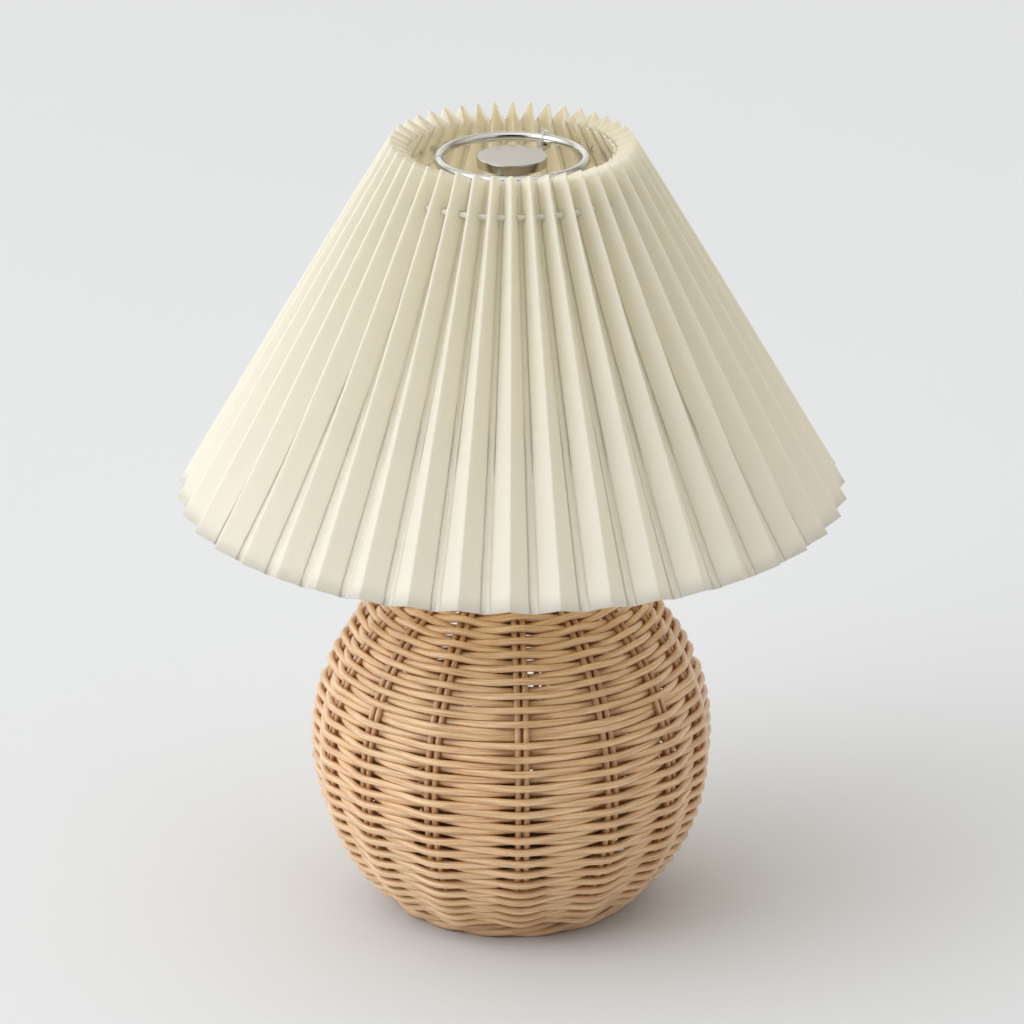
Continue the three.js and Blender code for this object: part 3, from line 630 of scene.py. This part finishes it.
def weaver_path():
    """One strand, wound up the globe in front of and behind alternate pairs of stakes."""
    start = np.interp(BOTTOM_ANGLE, FINE_ANGLES, FINE_TRAVEL)
    end = np.interp(MOUTH_ANGLE, FINE_ANGLES, FINE_TRAVEL)
    first, last = (math.floor((t - FRONT_ROW_TRAVEL) / ROW_PITCH) + 0.5 for t in (start, end))
    steps = int((last - first) * STAKE_PAIRS * STEPS_PER_PAIR)
    turn = np.linspace(first, last, steps) * 2 * math.pi
    travel = FRONT_ROW_TRAVEL + turn / (2 * math.pi) * ROW_PITCH
    angle = np.interp(travel, FINE_TRAVEL, FINE_ANGLES)
    wave = np.cos(STAKE_PAIRS / 2 * pair_turn(turn) + changed_over(turn))
    swing = WEAVER_SWING * wave * (SWING_PLAIN_SHARE + (1 - SWING_PLAIN_SHARE) * wave**2)
    change, waves = SWING_CHANGE
    swing *= 1 + change * np.sin(turn * waves)
    radius, height, normal = globe_point(angle, STAKE_INSET - swing)
    drift = sum(size * np.sin(turn * rate + start) for size, rate, start in WEAVER_DRIFTS)
    radius = radius - drift * normal[:, 1]
    height = height + drift * normal[:, 0]
    turn, height = around_bush(turn, height, WEAVER_BUSH_SPREAD)
    path = around_axis(turn, radius, height)
    outward = around_axis(turn, normal[:, 0], normal[:, 1])
    half_height = WEAVER_HALF_HEIGHT + WEAVER_SWELL * np.clip(-wave, 0, 1) ** 2
    return path, outward, half_height


def woven_base():
    weaver = Shape()
    path, outward, half_height = weaver_path()
    sweep(
        weaver, path, outward, half_height, WEAVER_HALF_DEPTH, 12, flatness=WEAVER_SQUARENESS
    )
    piece("wicker_weaver", weaver, "base", RATTAN, ["wicker_globe"])

    stakes = Shape()
    angle = np.linspace(BOTTOM_ANGLE - 0.03, STAKE_TOP_ANGLE, 60)
    radius, height, normal = globe_point(angle, STAKE_INSET)
    for pair in range(STAKE_PAIRS):
        middle = stake_turn(pair * 2 * math.pi / STAKE_PAIRS)
        for side in (-1, 1):
            spacing = np.minimum(STAKE_SPACING, radius * STAKE_SPACING_SHARE)
            turn = middle + side * spacing / 2 / radius
            turn, lifted = around_bush(turn, height, STAKE_BUSH_SPREAD)
            stake = around_axis(turn, radius, lifted)
            out = around_axis(turn, normal[:, 0], normal[:, 1])
            sweep(stakes, stake, out, STAKE_RADIUS, STAKE_RADIUS)
    piece("wicker_stakes", stakes, "base", RATTAN_STAKE)


def braid(name, node, radius, z, strand_radius, offset):
    """A border of strands wound round each other, with as many tops as there are pairs."""
    rope = Shape()
    turn = np.linspace(0, 2 * math.pi, 360, endpoint=False)
    for strand in range(BRAID_STRANDS):
        phase = turn * STAKE_PAIRS / BRAID_STRANDS + strand * 2 * math.pi / BRAID_STRANDS
        path = around_axis(turn, radius + offset * np.cos(phase), z + offset * np.sin(phase))
        sweep(rope, path, around_axis(turn, 1, 0), strand_radius, strand_radius, 12, closed=True)
    piece(name, rope, "base", RATTAN_BORDER, [node])


def borders():
    braid("foot_braid", "foot_border", radius=58.4, z=4.1, strand_radius=2.15, offset=1.85)
    braid("top_braid", "top_border", radius=26.5, z=186.9, strand_radius=1.45, offset=1.5)


def woven_bottom():
    """Radial spokes with a spiral wound over and under them."""
    spokes = Shape()
    for i in range(STAKE_PAIRS):
        middle = STAKE_TURN + i * 2 * math.pi / STAKE_PAIRS
        for side in (-1, 1):
            reach = np.linspace(SPOKE_START, BOTTOM_RADIUS, 24)
            turn = middle + side * np.minimum(SPOKE_SPACING, reach * 0.1) / reach
            path = around_axis(turn, reach, BOTTOM_Z)
            sweep(spokes, path, np.tile([0, 0, 1.0], (24, 1)), SPOKE_RADIUS, SPOKE_RADIUS, 8)
    piece("bottom_spokes", spokes, "base", RATTAN_STAKE, ["woven_bottom"])
    spiral = Shape()
    turns = (BOTTOM_RADIUS - SPIRAL_START) / SPIRAL_PITCH
    turn = np.linspace(0, turns, int(turns * STAKE_PAIRS * STEPS_PER_PAIR)) * 2 * math.pi
    reach = SPIRAL_START + turn / (2 * math.pi) * SPIRAL_PITCH
    lift = SPIRAL_SWING * np.cos(STAKE_PAIRS / 2 * (turn - STAKE_TURN))
    path = around_axis(turn, reach, BOTTOM_Z + lift)
    upward = np.tile([0, 0, 1.0], (len(path), 1))
    sweep(spiral, path, upward, SPIRAL_HALF_WIDTH, SPIRAL_HALF_HEIGHT, 8)
    piece("bottom_weaver", spiral, "base", RATTAN)


# ---------- shade ----------

SLOPE = math.atan2(SHADE_BOTTOM_RADIUS - SHADE_TOP_RADIUS, SHADE_TOP_Z - SHADE_BOTTOM_Z)
SLOPE_LENGTH = (SHADE_TOP_Z - SHADE_BOTTOM_Z) / math.cos(SLOPE)


def pleat_depth(outer_radius):
    """How far the inner folds lie behind the outer ones, square to the slope."""
    spread = 1 - math.cos(math.pi / PLEATS)
    lean = outer_radius * math.cos(SLOPE) * spread
    return lean + np.sqrt(lean**2 - 2 * outer_radius**2 * spread + PANEL_WIDTH**2)


def fold_point(down, behind):
    """[radius, height] of a fold, down the slope and behind the outer folds."""
    radius = SHADE_TOP_RADIUS + down * math.sin(SLOPE) - behind * math.cos(SLOPE)
    height = SHADE_TOP_Z - down * math.cos(SLOPE) - behind * math.sin(SLOPE)
    return radius, height


def fold_lines(down):
    """Points of every fold, outer and inner by turns, at distances down the slope."""
    depth = pleat_depth(SHADE_TOP_RADIUS + down * math.sin(SLOPE))
    lines = []
    for fold in range(2 * PLEATS):
        lean = rng.normal(0, FOLD_JITTER, 2)  # pleats are never quite even
        share = down / SLOPE_LENGTH
        behind = depth if fold % 2 else np.zeros_like(depth)
        radius, height = fold_point(down, behind)
        angle = SHADE_TURN + fold * math.pi / PLEATS
        angle = angle + (lean[0] * (1 - share) + lean[1] * share) / radius
        lines.append(around_axis(angle, radius, height))
    return np.array(lines)


def unit(vectors):
    return vectors / np.linalg.norm(vectors, axis=-1, keepdims=True)


def pleated_shade():
    """The folded sheet as one surface, with round folds and a punched hole in each panel."""
    patch = np.linspace(-HOLE_PATCH_REACH, HOLE_PATCH_REACH, 5) * CORD_HOLE_RADIUS
    down = np.concatenate(
        [[0.0, 3.5, 9.0], CORD_FROM_TOP + patch, np.linspace(30, SLOPE_LENGTH, 22)]
    )
    first_row = 3
    folds = fold_lines(down)
    behind = unit(np.roll(folds, 1, 0) - folds)
    ahead = unit(np.roll(folds, -1, 0) - folds)
    inward = unit(behind + ahead)
    cosine = (ahead * inward).sum(-1, keepdims=True)
    aside = unit(ahead - cosine * inward)
    half_opening = np.arccos(cosine)
    centre = folds + inward * FOLD_RADIUS / np.sin(half_opening)

    def round_fold(step):
        """Points round each fold: 0 on its ridge, FOLD_STEPS where the panel ahead begins."""
        swept = step / FOLD_STEPS * (math.pi / 2 - half_opening)
        return centre + FOLD_RADIUS * (aside * np.sin(swept) - inward * np.cos(swept))

    following = np.roll(folds, -1, 0)
    odd = (np.arange(2 * PLEATS) % 2).astype(bool)[:, None, None]
    middle = np.where(odd, 1 - CORD_SHARE, CORD_SHARE)
    columns_flat = [np.full_like(middle, PANEL_EDGE_SHARE)]
    columns_flat += [middle + offset / PANEL_WIDTH for offset in patch]
    columns_flat += [np.full_like(middle, 1 - PANEL_EDGE_SHARE)]
    columns = [round_fold(step) for step in range(FOLD_STEPS + 1)]
    for share in columns_flat:
        wave = np.sin(down / PANEL_BOW_RATE + 1.0)[None, :, None]
        bow = PANEL_BOW * np.sin(math.pi * share) * wave
        columns.append(folds * (1 - share) + following * share - inward * bow)
    for step in range(FOLD_STEPS, 0, -1):
        columns.append(np.roll(round_fold(-step), -1, 0))
    grid = np.stack(columns, 1)
    first_column = FOLD_STEPS + 2
    per_panel, rows = grid.shape[1], len(down)
    flat = grid.reshape(-1, 3)
    total_columns = 2 * PLEATS * per_panel

    ring = np.arange(HOLE_SIDES) / HOLE_SIDES * 2 * math.pi + math.pi / 4
    rims = []
    for panel in range(2 * PLEATS):
        patch_grid = grid[panel, first_column : first_column + 5, first_row : first_row + 5]
        middle_point = patch_grid[2, 2]
        u = (patch_grid[4, 2] - patch_grid[0, 2]) / (2 * HOLE_PATCH_REACH)
        v = (patch_grid[2, 4] - patch_grid[2, 0]) / (2 * HOLE_PATCH_REACH)
        rims.append(middle_point + np.cos(ring)[:, None] * u + np.sin(ring)[:, None] * v)

    faces, corner_columns, corner_rows = grid_faces(total_columns, rows, True, False)
    column, row = corner_columns[:, 0] % per_panel, corner_rows[:, 0]
    in_patch = (
        (column >= first_column)
        & (column < first_column + 4)
        & (row >= first_row)
        & (row < first_row + 4)
    )
    uvs = np.stack([corner_columns / per_panel * PANEL_WIDTH, down[corner_rows]], -1)
    faces, uvs = faces[~in_patch].tolist(), (uvs[~in_patch] * MM).reshape(-1, 2).tolist()
    for panel in range(2 * PLEATS):
        base = len(flat) + panel * HOLE_SIDES
        c0, r0 = panel * per_panel + first_column, first_row
        edge = (
            [(c0 + 4 - k, r0 + 4) for k in range(4)]
            + [(c0, r0 + 4 - k) for k in range(4)]
            + [(c0 + k, r0) for k in range(4)]
            + [(c0 + 4, r0 + k) for k in range(4)]
        )
        for k in range(HOLE_SIDES):
            k2 = (k + 1) % HOLE_SIDES
            (ca, ra), (cb, rb) = edge[k], edge[k2]
            first, second = ca * rows + ra, cb * rows + rb
            faces.append([base + k, base + k2, second, first])
            uvs.extend([[PANEL_WIDTH / 2 * MM, CORD_FROM_TOP * MM]] * 4)
    shade = Shape()
    shade.add(np.vstack([flat, *rims]), faces, uvs)
    made = piece("pleated_sheet", shade, "shade", IVORY, ["pleated_shade"], 180)
    solidify = made.modifiers.new("thickness", "SOLIDIFY")
    solidify.thickness = PAPER_THICKNESS * MM
    solidify.offset = 0
    solidify.use_even_offset = False


CORD_LEVEL_RADIUS = SHADE_TOP_RADIUS + CORD_FROM_TOP * math.sin(SLOPE)
CORD_MIDDLE = fold_point(CORD_FROM_TOP, CORD_SHARE * pleat_depth(CORD_LEVEL_RADIUS))


def ring_path(radius, z, count):
    """The middle line of a ring, and the direction outward at each of its points."""
    turn = np.linspace(0, 2 * math.pi, count, endpoint=False)
    return around_axis(turn, radius, z), around_axis(turn, 1, 0)


def gather_cord():
    cord = Shape()
    path, out = ring_path(CORD_MIDDLE[0], CORD_MIDDLE[1], 840)
    lobes = (CORD_STRANDS, CORD_GROOVE, 1 / CORD_STRAND_PITCH)
    sweep(cord, path, out, CORD_RADIUS, CORD_RADIUS, 16, closed=True, lobes=lobes)
    piece("gather_cord_twisted", cord, "shade", CORD_WHITE, ["gather_cord"])


def carrier():
    wire = Shape()
    path, out = ring_path(RING_RADIUS, RING_Z, 180)
    sweep(wire, path, out, RING_WIRE_RADIUS, RING_WIRE_RADIUS, 24, True)
    piece("carrier_ring_wire", wire, "shade", CHROME, ["carrier_ring"])


def tie(name, pleat, node, knotted):
    """A clear nylon line: turns round the ring wire, and a line out to the gather cord. Only
    the tie that was fastened last has a bow of loose loops and ends."""
    line = Shape()

    def strand(path, outward):
        outward = np.broadcast_to(outward, np.shape(path))
        sweep(line, path, outward, TIE_LINE_RADIUS, TIE_LINE_RADIUS, 8)

    wound = RING_WIRE_RADIUS + TIE_LINE_RADIUS + TIE_CLEARANCE
    turns = 3 if knotted else 2
    t = np.linspace(0, turns * 2 * math.pi, turns * 36)
    side = np.linspace(-0.5, 0.5, len(t)) * turns * TIE_WRAP_PITCH
    wrap = np.stack([side, -(RING_RADIUS + wound * np.cos(t)), RING_Z + wound * np.sin(t)], 1)
    strand(wrap, np.stack([t * 0, -np.cos(t), np.sin(t)], 1))
    start = wrap[-1]
    end = np.array([0, -(CORD_MIDDLE[0] - CORD_RADIUS), CORD_MIDDLE[1]])
    s = np.linspace(0, 1, 24)[:, None]
    sag = np.array([0, 0, TIE_SAG]) * np.sin(math.pi * s)
    strand(start * (1 - s) + end * s - sag, [1.0, 0, 0])
    if knotted:
        top = np.array([0, -RING_RADIUS, RING_Z + wound])
        turn = np.linspace(0, 2 * math.pi, 40)
        for across, size, height in BOW_LOOPS:
            x = across + size * np.cos(turn)
            loop = np.stack([x, 0.5 * np.sin(2 * turn), height + size * np.sin(turn)], 1)
            strand(top + loop, [0, 1.0, 0.02])
        s = np.linspace(0, 1, 16)[:, None]
        for reach, height, bend in BOW_ENDS:
            tail = top + s * np.array([reach, 1.2, height])
            strand(tail + np.array([bend, 0, 0.5]) * np.sin(math.pi * s), [0, 1.0, 0.02])
    angle = SHADE_TURN + pleat * 2 * math.pi / PLEATS
    c, s = math.cos(angle), math.sin(angle)
    turned(line, [[c, -s, 0], [s, c, 0], [0, 0, 1]])
    piece(name, line, "shade", NYLON, [node])


def ties():
    for i in range(TIES):
        pleat = FIRST_TIE_PLEAT + i * PLEATS // TIES
        tie(f"shade_tie_line_{i + 1}", pleat, f"shade_tie_{i + 1}", i == KNOTTED_TIE)


# ---------- metalwork, holder and bulb ----------


def span(node):
    """Lowest and highest corners of a CAD node in millimetres."""
    low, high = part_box(node)
    return np.array(low) / MM, np.array(high) / MM


def heights(node):
    """Lowest and highest z of a CAD node in millimetres."""
    return [corner[2] for corner in span(node)]


def retaken(name, node, body, profile, material, radius, x=0.0):
    """A turned piece in place of a CAD node, upright at x."""
    shape = moved(lathe(rounded(profile, radius)), (x, 0, 0))
    piece(name, shape, body, material, [node])


def finial():
    low, high = span("finial")
    top, disc, stem = high[2], high[2] - FINIAL_DISC_THICKNESS, low[2]
    profile = [
        [3.3, stem], [FINIAL_STEM_RADIUS, stem], [FINIAL_STEM_RADIUS, disc],
        [FINIAL_DISC_RADIUS, disc], [FINIAL_DISC_RADIUS, top], [0, top], [0, top - 1.5],
        [3.3, top - 1.5],
    ]
    retaken("finial_disc", "finial", "finial", profile, SATIN, 0.7)


def neck():
    foot, top = heights("neck_cap")
    cap = [
        [5.3, top - 1.2], [12, top - 1.2], [26, foot + 0.8], [28, foot], [29, foot],
        [29, foot + 1.0], [27, foot + 2.2], [20, foot + 3.1], [13, top], [5.3, top],
    ]
    retaken("neck_cap_spun", "neck_cap", "base", cap, NICKEL, 1.2)
    foot, top = heights("neck_spacer")
    tube = [
        [5.3, foot], [7, foot], [7, foot + 1.6], [6.4, foot + 2.0], [6.4, top - 2.0],
        [7, top - 1.6], [7, top], [5.3, top],
    ]
    retaken("neck_spacer_turned", "neck_spacer", "base", tube, NICKEL, 0.3)


def harp_wire_points():
    """The harp's middle line, from its left foot over the top to its right foot."""
    saddle_foot = span("harp_saddle")[0][2]
    foot = saddle_foot + 6.0
    top = span("harp_bow")[1][2] - HARP_WIRE_RADIUS
    half = [
        (HARP_LEG_X, foot), (HARP_LEG_X, foot + 13), (HARP_LEG_X, foot + 27),
        (HARP_LEG_X + 6, foot + 48), (HARP_LEG_X + 11, foot + 75), (HARP_LEG_X + 10, foot + 104),
        (HARP_LEG_X + 1, foot + 133), (HARP_LEG_X - 11, top - 6), (HARP_LEG_X - 22, top),
    ]
    right = [np.array([x, 0.0, z]) for x, z in half]
    left = [np.array([-x, 0.0, z]) for x, z in half]
    return left + [np.array([0.0, 0.0, top])] + right[::-1]


def smooth_line(points, steps=12):
    """A centripetal Catmull-Rom curve through the points."""
    points = [2 * points[0] - points[1], *points, 2 * points[-1] - points[-2]]
    line = []
    for p0, p1, p2, p3 in zip(points, points[1:], points[2:], points[3:]):
        knots = np.cumsum([0] + [np.linalg.norm(b - a) ** 0.5
                                 for a, b in ((p0, p1), (p1, p2), (p2, p3))])
        for t in np.linspace(knots[1], knots[2], steps, endpoint=False):
            a1 = ((knots[1] - t) * p0 + (t - knots[0]) * p1) / (knots[1] - knots[0])
            a2 = ((knots[2] - t) * p1 + (t - knots[1]) * p2) / (knots[2] - knots[1])
            a3 = ((knots[3] - t) * p2 + (t - knots[2]) * p3) / (knots[3] - knots[2])
            b1 = ((knots[2] - t) * a1 + (t - knots[0]) * a2) / (knots[2] - knots[0])
            b2 = ((knots[3] - t) * a2 + (t - knots[1]) * a3) / (knots[3] - knots[1])
            line.append(((knots[2] - t) * b1 + (t - knots[1]) * b2) / (knots[2] - knots[1]))
    return np.array([*line, points[-2]])


def harp():
    bow = Shape()
    path = smooth_line(harp_wire_points())
    sweep(bow, path, np.tile([0, 1.0, 0], (len(path), 1)), HARP_WIRE_RADIUS, HARP_WIRE_RADIUS, 20)
    wire = bow.points[0]
    lug_top = span("harp_saddle")[1][2] + 0.3
    beside_lug = (wire[:, 2] < lug_top) & (np.abs(wire[:, 0]) > HARP_FLAT_X)
    wire[beside_lug, 0] = np.sign(wire[beside_lug, 0]) * HARP_FLAT_X
    top = path[:, 2].max()
    half = HARP_WIRE_RADIUS
    boss = [[2.2, top - half], [7, top - half], [7, top + half], [2.2, top + half]]
    lathe(rounded(boss, 0.6), 64, bow)
    piece("harp_wire", bow, "harp", NICKEL, ["harp_bow"])

    for name, side in (("left", -1), ("right", 1)):
        node = f"harp_ferrule_{name}"
        foot, high = heights(node)
        tube = [
            [2.4, foot], [3.5, foot], [3.5, foot + 1.1], [3.2, foot + 1.5], [3.2, high - 1.5],
            [3.5, high - 1.1], [3.5, high], [2.4, high],
        ]
        body = f"ferrule_{name}"
        retaken(f"{node}_turned", node, body, tube, NICKEL, 0.25, side * HARP_LEG_X)


def swivel_stud():
    foot, tip = heights("harp_swivel_stud")
    plate = foot + 1.5 + 2 * 0.3 + 2 * HARP_WIRE_RADIUS
    plate_top = plate + 1.75
    thread = []
    z = plate_top + 1.0
    while z < tip - 1.6:
        thread += [[2.95, z], [2.6, z + 0.32], [2.95, z + 0.64]]
        z += 0.8
    profile = [
        [0, foot], [2.2, foot], [3.4, foot + 1.5], [1.9, foot + 1.5], [1.9, plate], [8, plate],
        [8, plate_top], [2.9, plate_top], *thread, [2.9, tip - 0.8], [2.2, tip], [0, tip],
    ]
    retaken("swivel_stud_threaded", "harp_swivel_stud", "swivel", profile, BRASS, 0.2)


def lamp_holder():
    foot, top = heights("socket_cap")
    cap = [
        [5.3, foot], [9, foot], [12, foot + 0.6], [16.3, foot + 3.2], [16.8, foot + 4.6],
        [16.8, foot + 9.6], [16.8, foot + 10.2], [16.8, top - 0.5], [16.8, top], [15.8, top],
        [15.8, foot + 3.7], [5.3, foot + 3.7],
    ]
    retaken("socket_cap_spun", "socket_cap", "base", cap, BRASS, 0.8)
    foot, top = heights("socket_shell")
    shell = [
        [14.7, foot], [15.5, foot], [15.5, foot + 17], [15.1, foot + 17.8], [15.5, foot + 18.6],
        [15.5, foot + 36], [15.1, foot + 36.8], [15.5, foot + 37.6], [15.5, top - 3.4],
        [16.7, top - 2.2], [16.7, top - 0.8], [15.5, top], [14.7, top],
    ]
    retaken("socket_shell_spun", "socket_shell", "base", shell, BRASS, 0.5)
    foot, top = heights("socket_screw_shell")
    outer, inner = span("socket_screw_shell")[1][0], 13.1
    grooves = []
    z = top - 2.0
    while z > foot + 3:
        grooves += [[inner, z], [inner + 0.45, z - SCREW_PITCH / 2]]
        z -= SCREW_PITCH
    screw = [
        [4, foot], [outer, foot], [outer, top], [inner, top], *grooves, [inner, foot + 0.6],
        [4, foot + 0.6],
    ]
    retaken("socket_screw_threaded", "socket_screw_shell", "base", screw, BRASS, 0.3)


def to_front(shape, back, z):
    """Lays a shape that was turned about +Z down along -Y, with its foot at -back."""
    turned(shape, [[1, 0, 0], [0, 0, -1], [0, 1, 0]])
    return moved(shape, (0, -back, z))


def switch():
    low, high = span("switch_knob")
    length, back, middle = high[1] - low[1], -high[1], (low[2] + high[2]) / 2
    profile = [
        [2.3, 0], [3.4, 0], [3.4, 2], [5, 3.5], [5, length - 1], [4, length], [0, length],
        [0, 6.3], [2.3, 6.3],
    ]
    shape = lathe(rounded(profile, 0.6))
    # The grip is fluted and flat on two sides.
    points = shape.points[0]
    grip = (points[:, 2] > 5) & (np.hypot(points[:, 0], points[:, 1]) > 2.4)
    flutes = 1 + 0.02 * np.cos(KNOB_FLUTES * np.arctan2(points[:, 1], points[:, 0]))
    points[grip, :2] *= flutes[grip, None] * 0.98
    points[grip, 0] = np.clip(points[grip, 0], -KNOB_HALF_WIDTH, KNOB_HALF_WIDTH)
    to_front(shape, back, middle)
    piece("switch_knob_moulded", shape, "switch", BAKELITE, ["switch_knob"])


def bulb():
    foot, top = heights("bulb_glass")
    radius = span("bulb_glass")[1][0]
    middle = top - radius

    def outline(inset):
        share = np.linspace(0, 1, 24)
        swell = smoothstep(share - 0.05)
        neck = 12.0 - inset
        flare = np.stack([neck + (radius - inset - neck) * swell,
                          foot + (middle - foot) * share], 1)
        angle = np.linspace(0, math.pi / 2, 25)[1:]
        dome = np.stack([(radius - inset) * np.cos(angle),
                         middle + (radius - inset) * np.sin(angle)], 1)
        dome[-1, 0] = 0
        return np.vstack([flare, dome]).tolist()

    glass = lathe(outline(0) + outline(1)[::-1])
    piece("bulb_globe", glass, "bulb", OPAL, ["bulb_glass"])
    foot, rim = heights("bulb_cap")
    thread = []
    for z in np.linspace(foot + 2.8, rim - 2.6, 40):
        wave = math.cos((z - foot) / SCREW_PITCH * 2 * math.pi)
        thread.append([12.35 + 0.45 * wave, z])
    cap = [[3.6, foot], [6, foot], [11.9, foot + 1.8], *thread, [12.4, rim - 1.6], [12.4, rim],
           [11.4, rim], [10.9, foot + 3.3], [3.6, foot + 1.2]]
    retaken("bulb_cap_rolled", "bulb_cap", "bulb", cap, NICKEL, 0.3)


def cable_outlet():
    low, high = span("cable_bush")
    start, end = low[1], high[1]
    lip = end - 2.4
    profile = [
        [3.6, start], [6, start], [6, lip], [7.6, lip], [7.6, end - 0.8], [6.8, end],
        [4.4, end], [3.6, end - 0.8],
    ]
    shape = lathe(rounded(profile, 0.4), 64)
    turned(shape, [[1, 0, 0], [0, 0, 1], [0, -1, 0]])
    moved(shape, (0, 0, BUSH_Z))
    piece("cable_bush_moulded", shape, "base", BUSH, ["cable_bush"])


def under_base():
    low, high = span("base_weight")
    weight = [
        [5.3, low[2]], [50, low[2]], [50, high[2]], [16, high[2]], [15, high[2] - 0.6],
        [5.3, high[2] - 0.6],
    ]
    retaken("base_weight_cast", "base_weight", "base", weight, IRON, 1.5)
    low, high = span("bottom_washer")
    washer = [[5.3, low[2]], [15, low[2]], [15, high[2]], [5.3, high[2]]]
    retaken("bottom_washer_pressed", "bottom_washer", "base", washer, NICKEL, 0.4)


def carry_over():
    """CAD nodes that stay as they are get the procedural materials."""
    looks = {
        "lamp_pipe": PIPE_BRASS,
        "bottom_nut": NICKEL,
        "weight_nut": NICKEL,
        "harp_saddle": NICKEL,
        "carrier_bar": CHROME,
        "socket_liner": CARD,
        "socket_body": BAKELITE,
        "socket_contact": BRASS,
        "terminal_screw_left": BRASS,
        "terminal_screw_right": BRASS,
        "switch_spindle": BRASS,
        "bulb_contact": BRASS,
    }
    for node, look in looks.items():
        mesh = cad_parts[node].data
        mesh.materials.clear()
        mesh.materials.append(look)


woven_base()
borders()
woven_bottom()
pleated_shade()
gather_cord()
carrier()
ties()
finial()
neck()
harp()
swivel_stud()
lamp_holder()
switch()
bulb()
cable_outlet()
under_base()
carry_over()


# ---------- stage ----------


def studio_floor():
    bpy.ops.mesh.primitive_plane_add(size=14, location=(0, 2, 0))
    floor = bpy.context.object
    floor.name = "floor"
    n = Look("studio_floor")
    tone = n.mixed(n.noise(n.place(), 3.0, 2), (0.698, 0.708, 0.72), (0.708, 0.718, 0.73))
    floor.data.materials.append(n.finish(n.principled(Base_Color=tone, Roughness=0.9)))


def sky():
    """A soft dome: cooler and brighter on the left, a little brighter overhead, and dark at
    one end of the room."""
    world = bpy.data.worlds.new("studio")
    bpy.context.scene.world = world
    world.use_nodes = True
    n = Nodes(world.node_tree)
    direction = n.node("TexCoord").outputs["Generated"]
    axes = n.node("SeparateXYZ", {"Vector": direction}).outputs
    towards_dark = n.combined("VectorMath", "DOT_PRODUCT", direction, DARK_END)["Value"]
    strength = n.eased(axes["X"], (-1, 1), SKY_LEFT_RIGHT)
    for factor in (
        n.eased(axes["Z"], (0, SKY_HIGH_FROM), SKY_LOW_HIGH),
        n.eased(towards_dark, DARK_END_EDGE, (1, DARK_END_STRENGTH)),
    ):
        strength = n.combined("Math", "MULTIPLY", strength, factor)[0]
    sideways = n.node("MapRange", {"Value": axes["X"], "From Min": -1}).outputs[0]
    background = world.node_tree.nodes["Background"]
    n.set(background.inputs["Color"], n.mixed(sideways, SKY_LEFT_COLOUR, SKY_RIGHT_COLOUR))
    n.set(background.inputs["Strength"], strength)


def key_light():
    data = bpy.data.lights.new("key", "AREA")
    data.shape = "DISK"
    data.size = KEY_SIZE
    data.energy = KEY_POWER
    data.color = KEY_COLOUR
    lamp = bpy.data.objects.new("key", data)
    lamp.location = KEY_PLACE
    aim = Vector(KEY_AIM) - Vector(KEY_PLACE)
    lamp.rotation_euler = aim.to_track_quat("-Z", "Y").to_euler()
    bpy.context.scene.collection.objects.link(lamp)


def camera():
    data = bpy.data.cameras.new("camera")
    data.lens = CAMERA_LENS
    data.sensor_width = CAMERA_SENSOR
    data.clip_start, data.clip_end = 0.1, 50
    holder = bpy.data.objects.new("camera", data)
    down = math.radians(CAMERA_DOWN)
    back = Vector((0, -math.cos(down), math.sin(down)))
    holder.location = Vector(CAMERA_AIM) + back * CAMERA_DISTANCE
    holder.rotation_euler = (-back).to_track_quat("-Z", "Y").to_euler()
    bpy.context.scene.collection.objects.link(holder)
    bpy.context.scene.camera = holder
    bpy.context.scene.view_settings.view_transform = "Standard"


studio_floor()
sky()
key_light()
camera()
